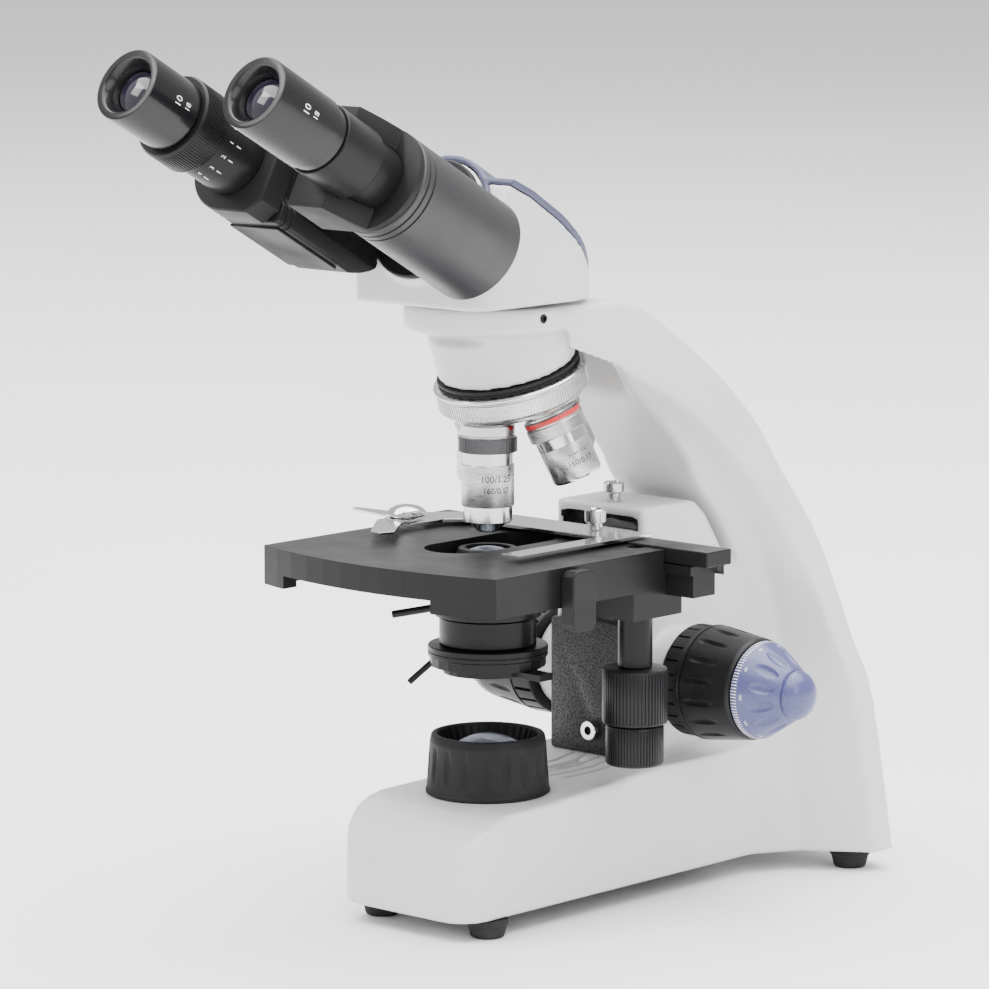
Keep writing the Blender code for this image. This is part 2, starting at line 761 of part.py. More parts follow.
def objective_frame(quarter_turns):
    """Frame at an objective's shoulder: local Z points down the objective, away from the turret."""
    tilt = math.radians(TURRET_TILT)
    around = Matrix.Rotation(math.radians(90 * quarter_turns), 4, "Z")
    centre = turret_frame() @ around
    placed = shifted(centre, 0, -TURRET_PITCH_RADIUS, 0)
    splay = Matrix.Rotation(math.pi - tilt, 4, "X")
    return placed @ splay


def nosepiece():
    frame = turret_frame()
    turned("nosepiece_mount", [(30.2, 18.9), (30.2, 16.4), (12, 16.4), (12, 18.9)], matte_black(), frame)
    slope = math.tan(math.radians(TURRET_TILT))

    def under(radius):
        return slope * (radius - TURRET_PITCH_RADIUS) + 0.3

    turret = turned(
        "nosepiece_turret",
        [(30.4, 16.1), (30.4, 14.6), (32, 14), (32, 7.4), (30.4, 6), (29, under(29)), (7, under(7))]
        + [(4, under(7) - 0.8), (4, 8.5), (27.5, 12.5), (27.5, 16.1)],
        satin_steel(),
        frame,
    )
    for quarter in range(4):
        bore = rod(f"objective bore {quarter}", 10.2, -25, 3, satin_steel(), objective_frame(quarter), SMALL)
        cut(turret, bore)
    return turret


def objectives():
    """Profiles are (radius, distance below the shoulder); the thread stands above it."""
    bore = 3.4
    thread = [(bore, -4.2), (9.8, -4.2), (9.8, 0), (11, 0)]
    shapes = {
        "objective_100x": (0, [(11, 4.7), (12.2, 5), (12.2, 11), (11, 11.4), (10.8, 34.3), (10.2, 34.3)]
                           + [(10.2, 40.4), (9.4, 41), (8.1, 41), (8.1, 30)]),
        "objective_4x": (1, [(11, 3), (12.4, 3.2), (12.4, 9.4), (11, 9.8), (10.2, 14), (10.2, 29.4)]
                         + [(9.6, 30), (8, 30), (8, 27)]),
        "objective_10x": (2, [(11, 3), (12.2, 3.2), (12.2, 10), (10.8, 10.4), (10.6, 31), (8, 36)]
                          + [(8, 38), (5, 38), (5, 35)]),
        "objective_40x": (3, [(11, 3), (12.2, 3.2), (12.2, 10), (10.8, 10.4), (10.6, 35), (8.4, 40)]
                          + [(8.2, 42.6), (5.6, 44.7), (4, 44.7), (4, 42)]),
    }
    for name, (quarter, lower) in shapes.items():
        profile = thread + lower + [(bore, lower[-1][1])]
        turned(name, profile, satin_steel(), objective_frame(quarter))
    tip = [(7.7, 33.5), (7.7, 41.5), (5, 44.2), (3.4, PARFOCAL), (1.6, PARFOCAL), (1.6, 33.5)]
    turned("nose_100x", tip, chrome(), objective_frame(0), SMALL)


# ---------------------------------------------------------------- head

HEAD_HALF = 37.0
HEAD_BACK_CENTRE = 7.8
# Top of the head in side view, from the front down to the back.
HEAD_TOP = [(-30, 315.5), (-12, 307.4), (5, 297), (21, 284.6), (33, 272.6), (41, 263.5)]
TRIM_THICKNESS = 3.0


def head_plan(half, front):
    corner = 10
    plan = arc((half - corner, front + corner), corner, -90, 0, 5)
    plan += arc((0, HEAD_BACK_CENTRE), half, 0, 180, 20)
    plan += arc((corner - half, front + corner), corner, 180, 270, 5)
    return plan


def lowered(profile, drop):
    return [(y - 0.55 * drop, z - 0.83 * drop) for y, z in profile]


def head_housing():
    finish = white_enamel()
    body = slab("head_housing", head_plan(HEAD_HALF, -46), HEAD_BOTTOM, 330, finish)
    skin = lowered(HEAD_TOP, TRIM_THICKNESS + GAP)
    top_cut = side_profile("head top cut", [(-90, 350), (-90, 330)] + skin + [(60, 240), (60, 350)], 60, finish)
    face_cut = block("head face cut", (-80, 80), (-90, 90), (-GAP, 90), finish, PIVOT)
    boss = rod("boss", 27.2, -23, -GAP - 0.1, finish, PIVOT, ROUND)
    spigot = rod("spigot", 23.8, 252, HEAD_BOTTOM + 2, finish, sides=ROUND)
    light_path = rod("head light path", 11, 240, 285, finish, sides=SMALL)
    well_outline = arc((0, 0), 30.6, 20, 160, 10) + arc((0, 0), 26, 160, 20, 10)
    hood_well = slab("hood well", well_outline, -22.4, 5, finish, PIVOT)
    cut(body, top_cut, face_cut, hood_well)
    join(body, boss, spigot)
    hub_bore = rod("hub bore", 6.4, -20, 5, finish, PIVOT, SMALL)
    return cut(body, light_path, hub_bore)


def head_trim():
    """Coloured shell over the top of the head, with a hood over the pivot boss."""
    finish = finish_of("trim_blue_grey", (0.16, 0.17, 0.28), 0.45)
    lower = lowered(HEAD_TOP, TRIM_THICKNESS)
    strip = side_profile("head_trim", HEAD_TOP + lower[::-1], HEAD_HALF + 5, finish)
    boolean(strip, slab("trim plan", head_plan(HEAD_HALF - 0.3, -40), 250, 340, finish), "INTERSECT")
    hood_outline = arc((0, 0), 30.2, 25, 155, 16) + arc((0, 0), 27.6, 155, 25, 16)
    hood = slab("hood", hood_outline, -22, -1, finish, PIVOT)
    inside = rod("hood inside", 27.6, -60, 5, finish, PIVOT, ROUND)
    front = block("trim front cut", (-80, 80), (-90, 90), (-1, 90), finish, PIVOT)
    join(strip, hood)
    return cut(strip, inside, front)


HUB_RADIUS = 6.0


def pivot_flange():
    profile = [(0, 60.5), (8, 60.5), (8, 58.6), (HUB_RADIUS, 58.6), (HUB_RADIUS, 2.6), (26.4, 2.6), (26.4, 0)]
    profile += [(HUB_RADIUS, 0), (HUB_RADIUS, -18), (0, -18)]
    return turned("pivot_flange", profile, black_anodised(), PIVOT)


def arm_hub(name, side, low, high, finish):
    """Ring that swivels on the hub pin, with the web that reaches to the tube."""
    reach = Vector((side * TUBE_SIDE, TUBE_DROP, 0)).normalized()
    frame = PIVOT @ frame_at((0, 0, 0), (reach.x, reach.y, 0), (0, 0, 1))
    web = block(f"{name} web", (4, 22), (-8, 8), (low, high), finish, frame)
    ring = rod(f"{name} ring", 11.6, low, high, finish, PIVOT, SMALL)
    return web, ring


def prism_arms():
    finish = satin_grey()
    end = 67.0
    right = rod("right_prism_housing", ARM_RADIUS, 3, end, finish, RIGHT_TUBE, ROUND)
    join(right, *arm_hub("right", 1, 3, 30, finish))
    cut(right, rod("right hub bore", HUB_RADIUS + GAP, 0, 70, finish, PIVOT, SMALL))
    left_outline = arc((0, 0), ARM_RADIUS, 90, 258, 16)
    left_outline += [(21.5, -20.8), (23, -19.4), (23, -13.2), (18.6, -8.4), (18.6, 8), (12, 18)]
    left = slab("left_prism_housing", left_outline, 3, end, finish, LEFT_TUBE)
    rear_corner = slab(
        "rear corner",
        [(3, -34), (3, -9), (8, -14.5), (15, -19), (24, -22.1), (24, -34)],
        -40,
        40,
        finish,
        LEFT_TUBE @ frame_at((0, 0, 0), (0, 0, 1), (-1, 0, 0)),
    )
    cut(left, rear_corner)
    join(left, *arm_hub("left", -1, 30.6, 58, finish))
    cut(left, rod("left hub bore", HUB_RADIUS + GAP, 0, 70, finish, PIVOT, SMALL))
    well = block("cover well", (-8, 20), (-30, -20.6), (24, 63), finish, LEFT_TUBE)
    cut(left, well)
    light_ways = {right: RIGHT_TUBE, left: LEFT_TUBE}
    for arm, frame in light_ways.items():
        cut(arm, rod(f"{arm.name} light way", 10, 40, 70, finish, frame, SMALL))
    return block("left_arm_cover", (-7.6, 19.6), (-22, -20.9), (24.4, 62.6), finish, LEFT_TUBE)


def tubes():
    """Each tube stands in a black mount at the front of its prism housing."""
    finish = black_anodised()
    seat = 67.3
    bore = 11.6
    outer = arc((0, 0), ARM_RADIUS, -90, 90, 16)
    right_mount = slab("right_tube", outer + [(-22, 22), (-22, -22)], seat, 90, matte_black(), RIGHT_TUBE)
    slope_cut = slab(
        "mount slope",
        [(5, seat + 3), (40, seat + 3), (40, 100), (-6, 100)],
        -40,
        40,
        matte_black(),
        RIGHT_TUBE @ frame_at((0, 0, 0), (1, 0, 0), (0, -1, 0)),
    )
    cut(right_mount, slope_cut)
    right_neck = turned(
        "right neck",
        [(14.9, 107), (15.2, 106.6), (15.2, 85), (13.6, 84), (13.6, seat), (bore, seat), (bore, 107)],
        finish,
        RIGHT_TUBE,
    )
    bore_tool = rod("right bore", bore, 60, 120, finish, RIGHT_TUBE, ROUND)
    join(right_mount, right_neck)
    cut(right_mount, bore_tool)
    left_outline = arc((0, 0), ARM_RADIUS, 90, 270, 16) + [(16, -22), (22, -16), (22, 12), (12, 22)]
    left_mount = slab("left_tube", left_outline, seat, 79, matte_black(), LEFT_TUBE)
    left_neck = turned(
        "left neck", [(15.2, 107), (15.2, seat), (bore, seat), (bore, 107)], finish, LEFT_TUBE
    )
    join(left_mount, left_neck)
    cut(left_mount, rod("left bore", bore, 60, 120, finish, LEFT_TUBE, ROUND))
    turned(
        "diopter_ring",
        [(17.2, 119), (18, 118.2), (18, 104.8), (17.4, 104.2), (15.6, 104.2), (15.6, 110)]
        + [(bore, 110), (bore, 119)],
        finish,
        LEFT_TUBE,
    )


def eyepiece(name, frame, shoulder, drop_in_end):
    drop_in = 11.2
    groove = 4.6 if name == "right_eyepiece" else 0.3
    profile = [(15.3, EYE_END - 0.5), (14.6, EYE_END), (11.8, EYE_END), (9.2, 141.6), (9.2, 139.4), (8.2, 139.4)]
    profile += [(8.2, drop_in_end), (drop_in, drop_in_end), (drop_in, shoulder), (14.2, shoulder)]
    profile += [(14.2, shoulder + groove), (15.3, shoulder + groove)]
    turned(name, profile, black_anodised(), frame)
    lens = [(0, 143.6), (4, 143.2), (7.2, 142), (8.9, 141.2), (8.9, 139.7), (0, 139.7)]
    side = name.split("_")[0]
    turned(f"{side}_eye_lens", lens, glass(), frame, SMALL)


def main():
    clear_scene()
    stand_casting()
    base_plate()
    feet()
    front_cover()
    head_lock_screw()
    illuminator()
    electrics()
    focus_drive()
    focus_slide()
    focus_stop()
    stage_carrier()
    stage_plate()
    stage_side_bracket()
    mechanical_stage()
    stage_drive()
    condenser()
    nosepiece()
    objectives()
    head_housing()
    head_trim()
    pivot_flange()
    prism_arms()
    tubes()
    eyepiece("right_eyepiece", RIGHT_TUBE, 107.4, 74)
    eyepiece("left_eyepiece", LEFT_TUBE, 119.3, 82)


main()
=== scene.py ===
import json
import math

import bmesh
import bpy
from mathutils import Matrix, Vector


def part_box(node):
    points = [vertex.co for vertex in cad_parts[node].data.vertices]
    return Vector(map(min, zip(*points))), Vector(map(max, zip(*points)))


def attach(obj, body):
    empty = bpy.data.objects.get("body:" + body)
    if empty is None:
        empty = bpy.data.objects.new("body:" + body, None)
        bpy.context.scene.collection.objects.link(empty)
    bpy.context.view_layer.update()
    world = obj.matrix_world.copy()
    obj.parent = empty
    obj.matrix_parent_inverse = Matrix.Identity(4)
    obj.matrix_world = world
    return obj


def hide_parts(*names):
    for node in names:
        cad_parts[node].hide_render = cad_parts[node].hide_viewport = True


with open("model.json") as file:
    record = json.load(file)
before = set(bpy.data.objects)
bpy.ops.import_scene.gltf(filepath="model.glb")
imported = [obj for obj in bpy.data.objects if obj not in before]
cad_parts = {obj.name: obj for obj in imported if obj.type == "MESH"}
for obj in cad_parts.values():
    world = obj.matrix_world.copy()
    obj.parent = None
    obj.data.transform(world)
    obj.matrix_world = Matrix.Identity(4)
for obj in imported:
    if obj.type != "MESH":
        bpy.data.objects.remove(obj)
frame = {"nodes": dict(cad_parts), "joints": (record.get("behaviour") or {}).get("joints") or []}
for leftover in ("Cube", "Light", "Camera"):   # what Blender starts with
    if leftover in bpy.data.objects:
        bpy.data.objects.remove(bpy.data.objects[leftover], do_unlink=True)
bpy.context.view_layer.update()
mm = 0.001
joints = {joint["name"]: joint for joint in frame["joints"]}
print("frame loaded:", len(frame["nodes"]), "nodes")


# places, all taken from the frame
def placeAt(origin, along, across):
    zAxis = Vector(along).normalized()
    xAxis = Vector(across)
    xAxis = (xAxis - zAxis * xAxis.dot(zAxis)).normalized()
    turn = Matrix((xAxis, zAxis.cross(xAxis), zAxis)).transposed().to_4x4()
    return Matrix.Translation(Vector(origin)) @ turn


def moved(place, x, y, z):
    return place @ Matrix.Translation(Vector((x, y, z)) * mm)


def jointPlace(name, along=None, across=(1, 0, 0)):
    joint = joints[name]
    return placeAt(joint["pos_m"], along or joint["axis"], across)


lensLow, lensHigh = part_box("collector_lens")
opticalY = (lensLow.y + lensHigh.y) / 2
upright = Matrix.Translation((0, opticalY, 0))
tubeSide = 35.2  # half the eyepiece spacing, mm
tubeDrop = -12.6
printAzimuth = 42  # printed numbers face a viewer standing here
pivotPlace = jointPlace("right_tube_fold")
rightTube = moved(pivotPlace, tubeSide, tubeDrop, 0)
leftTube = moved(pivotPlace, -tubeSide, tubeDrop, 0)
turretPlace = jointPlace("nosepiece_turn")
turretTilt = math.radians(17)
objectiveCircle = 18.5


def knobPlace(side):
    return jointPlace("coarse_turn", (side, 0, 0), (0, 1, 0))


def objectivePlace(quarter):
    turned = turretPlace @ Matrix.Rotation(math.radians(90 * quarter), 4, "Z")
    return moved(turned, 0, -objectiveCircle, 0) @ Matrix.Rotation(math.pi - turretTilt, 4, "X")


def boxMiddle(node):
    low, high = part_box(node)
    return (low + high) / 2


def uprightAt(node):
    middle = boxMiddle(node)
    return Matrix.Translation((middle.x, middle.y, 0))


def newFinish(name, colour, roughness, metallic=0.0):
    made = bpy.data.materials.new(name)
    made.use_nodes = True
    shader = made.node_tree.nodes["Principled BSDF"]
    shader.inputs["Base Color"].default_value = (*colour, 1)
    shader.inputs["Roughness"].default_value = roughness
    shader.inputs["Metallic"].default_value = metallic
    return made, shader


def noiseOn(made, scale, detail=3.0, stretch=(1, 1, 1)):
    nodes, links = made.node_tree.nodes, made.node_tree.links
    place = nodes.new("ShaderNodeTexCoord")
    mapping = nodes.new("ShaderNodeMapping")
    mapping.inputs["Scale"].default_value = stretch
    noise = nodes.new("ShaderNodeTexNoise")
    noise.inputs["Scale"].default_value = scale
    noise.inputs["Detail"].default_value = detail
    links.new(place.outputs["Object"], mapping.inputs["Vector"])
    links.new(mapping.outputs["Vector"], noise.inputs["Vector"])
    return noise


def cellsOn(made, scale, feature="F1"):
    nodes, links = made.node_tree.nodes, made.node_tree.links
    place = nodes.new("ShaderNodeTexCoord")
    cells = nodes.new("ShaderNodeTexVoronoi")
    cells.feature = feature
    cells.inputs["Scale"].default_value = scale
    links.new(place.outputs["Object"], cells.inputs["Vector"])
    return cells


def spread(made, source, low, high, target):
    nodes, links = made.node_tree.nodes, made.node_tree.links
    fit = nodes.new("ShaderNodeMapRange")
    fit.inputs["From Min"].default_value = 0.3
    fit.inputs["From Max"].default_value = 0.7
    fit.inputs["To Min"].default_value = low
    fit.inputs["To Max"].default_value = high
    links.new(source, fit.inputs["Value"])
    links.new(fit.outputs["Result"], target)


def tint(made, source, dark, light, shader):
    nodes, links = made.node_tree.nodes, made.node_tree.links
    ramp = nodes.new("ShaderNodeValToRGB")
    ramp.color_ramp.elements[0].position = 0.35
    ramp.color_ramp.elements[0].color = (*dark, 1)
    ramp.color_ramp.elements[1].position = 0.65
    ramp.color_ramp.elements[1].color = (*light, 1)
    links.new(source, ramp.inputs["Fac"])
    links.new(ramp.outputs["Color"], shader.inputs["Base Color"])


def bumpFrom(made, sources, shader):
    # sources are (output, strength, depth in mm), laid one over another
    nodes, links = made.node_tree.nodes, made.node_tree.links
    before = None
    for source, strength, depth in sources:
        bump = nodes.new("ShaderNodeBump")
        bump.inputs["Strength"].default_value = strength
        bump.inputs["Distance"].default_value = depth * mm
        links.new(source, bump.inputs["Height"])
        if before:
            links.new(before.outputs["Normal"], bump.inputs["Normal"])
        before = bump
    links.new(before.outputs["Normal"], shader.inputs["Normal"])


def shade(colour, factor):
    return tuple(min(1.0, value * factor) for value in colour)


enamelLook = {"colour": (0.66, 0.65, 0.65), "roughness": (0.30, 0.42), "peel": 900, "blotch": 14}


def enamelFinish():
    made, shader = newFinish("whiteEnamel", enamelLook["colour"], 0.36)
    peel = noiseOn(made, enamelLook["peel"], 2)
    blotch = noiseOn(made, enamelLook["blotch"], 3)
    spread(made, peel.outputs["Fac"], *enamelLook["roughness"], shader.inputs["Roughness"])
    tint(made, blotch.outputs["Fac"], shade(enamelLook["colour"], 0.965), enamelLook["colour"], shader)
    bumpFrom(made, [(peel.outputs["Fac"], 0.10, 0.05)], shader)
    shader.inputs["Coat Weight"].default_value = 0.25
    shader.inputs["Coat Roughness"].default_value = 0.18
    return made


def grainFinish(name, colour, roughness, metallic, grain, depth,
                coat=0.0, wander=0.25, blotch=35, shine=0.5):
    made, shader = newFinish(name, colour, roughness, metallic)
    fine = noiseOn(made, grain, 4)
    broad = noiseOn(made, blotch, 3)
    spread(made, broad.outputs["Fac"], roughness * (1 - wander), roughness * (1 + wander),
           shader.inputs["Roughness"])
    tint(made, fine.outputs["Fac"], shade(colour, 0.82), shade(colour, 1.16), shader)
    bumpFrom(made, [(fine.outputs["Fac"], 0.35, depth)], shader)
    shader.inputs["Coat Weight"].default_value = coat
    shader.inputs["Specular IOR Level"].default_value = shine
    return made


def brushedFinish(name, colour, roughness, stretch, depth=0.01):
    # fine lines from the lathe or the brush run along the two unstretched axes
    made, shader = newFinish(name, colour, roughness, 1.0)
    lines = noiseOn(made, 1500, 4, stretch)
    broad = noiseOn(made, 60, 3)
    spread(made, lines.outputs["Fac"], roughness * 0.7, roughness * 1.35, shader.inputs["Roughness"])
    tint(made, broad.outputs["Fac"], shade(colour, 0.92), shade(colour, 1.05), shader)
    bumpFrom(made, [(lines.outputs["Fac"], 0.25, depth)], shader)
    return made


leatherLook = {"colour": (0.014, 0.014, 0.015), "cells": 1100, "grain": 2800}


def leatheretteFinish():
    made, shader = newFinish("blackLeatherette", leatherLook["colour"], 0.5)
    cells = cellsOn(made, leatherLook["cells"])
    grain = noiseOn(made, leatherLook["grain"], 3)
    spread(made, cells.outputs["Distance"], 0.38, 0.66, shader.inputs["Roughness"])
    tint(made, cells.outputs["Distance"], shade(leatherLook["colour"], 1.5),
         shade(leatherLook["colour"], 0.7), shader)
    bumpFrom(made, [(cells.outputs["Distance"], 0.7, 0.35), (grain.outputs["Fac"], 0.3, 0.08)], shader)
    return made


def glassFinish(name, colour, roughness=0.03):
    made, shader = newFinish(name, colour, roughness)
    haze = noiseOn(made, 40, 2)
    spread(made, haze.outputs["Fac"], roughness, roughness * 2.2, shader.inputs["Roughness"])
    shader.inputs["Transmission Weight"].default_value = 0.85
    shader.inputs["IOR"].default_value = 1.52
    shader.inputs["Coat Weight"].default_value = 0.6
    shader.inputs["Coat Tint"].default_value = (0.75, 0.8, 1.0, 1)
    return made


finish = {
    "enamel": enamelFinish(),
    "anodised": grainFinish("blackAnodised", (0.012, 0.012, 0.013), 0.34, 0.25, 2600, 0.02, wander=0.2,
                            shine=0.2),
    "matte": grainFinish("matteBlackCoat", (0.011, 0.011, 0.012), 0.52, 0.0, 1900, 0.06, shine=0.2),
    "knobBlack": grainFinish("mouldedBlack", (0.011, 0.011, 0.012), 0.36, 0.0, 1600, 0.04, shine=0.2),
    "eyepiece": grainFinish("eyepieceBlack", (0.008, 0.008, 0.009), 0.24, 0.0, 2200, 0.01, coat=0.2,
                            shine=0.3),
    "greyPaint": grainFinish("satinGreyPaint", (0.030, 0.030, 0.032), 0.42, 0.2, 1800, 0.03),
    "rubber": grainFinish("footRubber", (0.011, 0.011, 0.011), 0.82, 0.0, 1200, 0.08),
    "trim": grainFinish("blueGreyTrim", (0.070, 0.074, 0.135), 0.42, 0.0, 1500, 0.04),
    "blue": grainFinish("blueViolet", (0.066, 0.070, 0.190), 0.34, 0.0, 1500, 0.03, coat=0.2),
    "plate": grainFinish("platedSteel", (0.22, 0.22, 0.22), 0.5, 0.8, 900, 0.05),
    "board": grainFinish("circuitBoard", (0.03, 0.16, 0.07), 0.4, 0.0, 700, 0.05),
    "chrome": brushedFinish("chromePlate", (0.66, 0.66, 0.67), 0.12, (1, 1, 1), 0.004),
    "steel": brushedFinish("satinSteel", (0.56, 0.56, 0.55), 0.32, (0.12, 0.12, 1.0), 0.008),
    "aluminium": brushedFinish("clearAluminium", (0.60, 0.60, 0.61), 0.30, (0.2, 0.2, 1.0), 0.008),
    "leather": leatheretteFinish(),
    "lens": glassFinish("coatedLens", (0.90, 0.94, 1.0)),
    "eyeLens": grainFinish("eyeLensGlass", (0.012, 0.008, 0.020), 0.08, 0.0, 500, 0.001, coat=0.8),
    "lampLens": glassFinish("lampLens", (0.94, 0.95, 0.93), 0.12),
    "white": grainFinish("paintedMarks", (0.85, 0.85, 0.85), 0.5, 0.0, 900, 0.01),
    "red": grainFinish("redBand", (0.62, 0.03, 0.03), 0.35, 0.0, 900, 0.01),
    "yellow": grainFinish("yellowBand", (0.75, 0.50, 0.03), 0.35, 0.0, 900, 0.01),
    "skyBlue": grainFinish("blueBand", (0.10, 0.28, 0.62), 0.35, 0.0, 900, 0.01),
    "print": grainFinish("blackPrint", (0.02, 0.02, 0.02), 0.5, 0.0, 900, 0.01),
    "darkGrip": grainFinish("darkGrip", (0.10, 0.10, 0.105), 0.38, 0.7, 1800, 0.02),
}
print("finishes made:", len(finish))


def editOnly(piece):
    if bpy.context.mode != "OBJECT":
        bpy.ops.object.mode_set(mode="OBJECT")
    bpy.ops.object.select_all(action="DESELECT")
    piece.select_set(True)
    bpy.context.view_layer.objects.active = piece


def clearSelection():
    if bpy.context.mode != "OBJECT":
        bpy.ops.object.mode_set(mode="OBJECT")
    bpy.ops.object.select_all(action="DESELECT")


def spunPiece(name, profile, sides=96):
    # a profile drawn point by point in edit mode, then spun about Z; an open profile is closed first
    clearSelection()
    bpy.ops.mesh.primitive_plane_add(size=mm)
    piece = bpy.context.object
    piece.name = name
    bpy.ops.object.mode_set(mode="EDIT")
    bpy.ops.mesh.select_mode(type="VERT")
    bpy.ops.mesh.select_all(action="SELECT")
    bpy.ops.mesh.merge(type="CENTER")
    radius, height = profile[0]
    bpy.ops.transform.translate(value=(radius * mm, 0, height * mm))
    for nextRadius, nextHeight in profile[1:]:
        step = ((nextRadius - radius) * mm, 0, (nextHeight - height) * mm)
        bpy.ops.mesh.extrude_vertices_move(TRANSFORM_OT_translate={"value": step})
        radius, height = nextRadius, nextHeight
    if profile[0][0] > 0 or profile[-1][0] > 0:
        step = ((profile[0][0] - radius) * mm, 0, (profile[0][1] - height) * mm)
        bpy.ops.mesh.extrude_vertices_move(TRANSFORM_OT_translate={"value": step})
    bpy.ops.mesh.select_all(action="SELECT")
    bpy.ops.mesh.remove_doubles(threshold=0.001 * mm)
    bpy.ops.mesh.spin(steps=sides, angle=math.tau, center=(0, 0, 0), axis=(0, 0, 1))
    bpy.ops.mesh.select_all(action="SELECT")
    bpy.ops.mesh.remove_doubles(threshold=0.002 * mm)
    bpy.ops.mesh.normals_make_consistent(inside=False)
    bpy.ops.object.mode_set(mode="OBJECT")
    return piece


def arcPoints(centre, radius, start, end, steps):
    points = []
    for step in range(steps + 1):
        angle = math.radians(start + (end - start) * step / steps)
        points.append((centre[0] + radius * math.cos(angle), centre[1] + radius * math.sin(angle)))
    return points


def outlinePiece(name, outline, stations):
    # stations are (height, share of the outline's size); the outline is raised from one to the next
    clearSelection()
    bpy.ops.mesh.primitive_circle_add(vertices=len(outline), radius=mm, fill_type="NGON")
    piece = bpy.context.object
    piece.name = name
    low = stations[0][0]
    for vertex, (x, y) in zip(piece.data.vertices, outline):
        vertex.co = Vector((x * stations[0][1], y * stations[0][1], low)) * mm
    bpy.ops.object.mode_set(mode="EDIT")
    for (before, shareBefore), (after, share) in zip(stations, stations[1:]):
        rise = {"value": (0, 0, (after - before) * mm)}
        bpy.ops.mesh.extrude_region_move(TRANSFORM_OT_translate=rise)
        if abs(share - shareBefore) > 1e-6:
            factor = share / shareBefore
            bpy.ops.transform.resize(value=(factor, factor, 1), center_override=(0, 0, after * mm))
    bpy.ops.mesh.select_all(action="SELECT")
    bpy.ops.mesh.normals_make_consistent(inside=False)
    bpy.ops.object.mode_set(mode="OBJECT")
    return piece


def applyAll(piece):
    editOnly(piece)
    for step in list(piece.modifiers):
        bpy.ops.object.modifier_apply(modifier=step.name)
    return piece


def softened(piece, width, segments=2, angle=32):
    step = piece.modifiers.new("edges", "BEVEL")
    step.width = width * mm
    step.segments = segments
    step.limit_method = "ANGLE"
    step.angle_limit = math.radians(angle)
    step.harden_normals = False
    return applyAll(piece)


def carved(piece, *cutters, operation="DIFFERENCE", solver="EXACT"):
    for cutter in cutters:
        step = piece.modifiers.new("carve", "BOOLEAN")
        step.operation = operation
        step.object = cutter
        step.solver = solver
        applyAll(piece)
        bpy.data.objects.remove(cutter, do_unlink=True)
    return piece


def insetWhere(piece, test, thickness, depth):
    # insets each chosen face on its own and sinks or raises it
    editOnly(piece)
    bpy.ops.object.mode_set(mode="EDIT")
    bpy.ops.mesh.select_all(action="DESELECT")
    bpy.ops.mesh.select_mode(type="FACE")
    cage = bmesh.from_edit_mesh(piece.data)
    for face in cage.faces:
        face.select = test(face.calc_center_median() / mm)
    bmesh.update_edit_mesh(piece.data)
    bpy.ops.mesh.inset(thickness=thickness * mm, depth=depth * mm, use_individual=True)
    bpy.ops.object.mode_set(mode="OBJECT")
    return piece


def ribbed(piece, low, high, leastRadius, sides, depth, every=2, thickness=0.06):
    # sinks every so many faces of a turned band, which leaves ribs between them
    def chosen(centre):
        if not low < centre.z < high or math.hypot(centre.x, centre.y) < leastRadius:
            return False
        facet = int(math.floor((math.atan2(centre.y, centre.x) % math.tau) / math.tau * sides))
        return facet % every == 0
    return insetWhere(piece, chosen, thickness, -depth)


def dimpled(piece, count, middle, halfLength, halfWidth, depth, leastRadius=4):
    # soft oval hollows round a knob, pressed into its vertices
    for vertex in piece.data.vertices:
        radius = math.hypot(vertex.co.x, vertex.co.y)
        if radius < leastRadius * mm:
            continue
        along = (vertex.co.z / mm - middle) / halfLength
        if abs(along) >= 1:
            continue
        share = (math.atan2(vertex.co.y, vertex.co.x) / math.tau * count) % 1 - 0.5
        across = share / count * math.tau * radius / mm / halfWidth
        reach = along * along + across * across
        if reach < 1:
            press = depth * mm * (1 - reach) ** 0.7
            vertex.co.x *= 1 - press / radius
            vertex.co.y *= 1 - press / radius
    return piece


def painted(piece, main, bands=()):
    # bands are (finish, test of a face's centre in the piece's own mm)
    piece.data.materials.clear()
    piece.data.materials.append(finish[main])
    for index, (name, test) in enumerate(bands, start=1):
        piece.data.materials.append(finish[name])
        for face in piece.data.polygons:
            if test(face.center / mm):
                face.material_index = index
    return piece


def putInPlace(piece, place, body, nodes=(), smooth=30):
    # puts a finished piece in its place and hands it to its body
    editOnly(piece)
    bpy.ops.object.shade_smooth_by_angle(angle=math.radians(smooth))
    piece.matrix_world = place
    bpy.ops.object.transform_apply(location=True, rotation=True, scale=True)
    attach(piece, body)
    if nodes:
        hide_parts(*nodes)
    return piece


def ringBand(low, high, least=0.0):
    return lambda c: low < c.z < high and math.hypot(c.x, c.y) > least


def cadCopy(node, name):
    source = frame["nodes"][node]
    piece = bpy.data.objects.new(name, source.data.copy())
    bpy.context.scene.collection.objects.link(piece)
    editOnly(piece)
    bpy.ops.object.mode_set(mode="EDIT")
    bpy.ops.mesh.select_all(action="SELECT")
    bpy.ops.mesh.remove_doubles(threshold=0.01 * mm)
    bpy.ops.object.mode_set(mode="OBJECT")
    piece.data.materials.clear()
    return piece


def castSurface(piece, voxel, rounds, factor=0.5):
    # closes the shape into an even skin and eases its corners as a casting's are
    skin = piece.modifiers.new("skin", "REMESH")
    skin.mode = "VOXEL"
    skin.voxel_size = voxel * mm
    skin.adaptivity = 0
    ease = piece.modifiers.new("ease", "SMOOTH")
    ease.factor = factor
    ease.iterations = rounds
    return applyAll(piece)


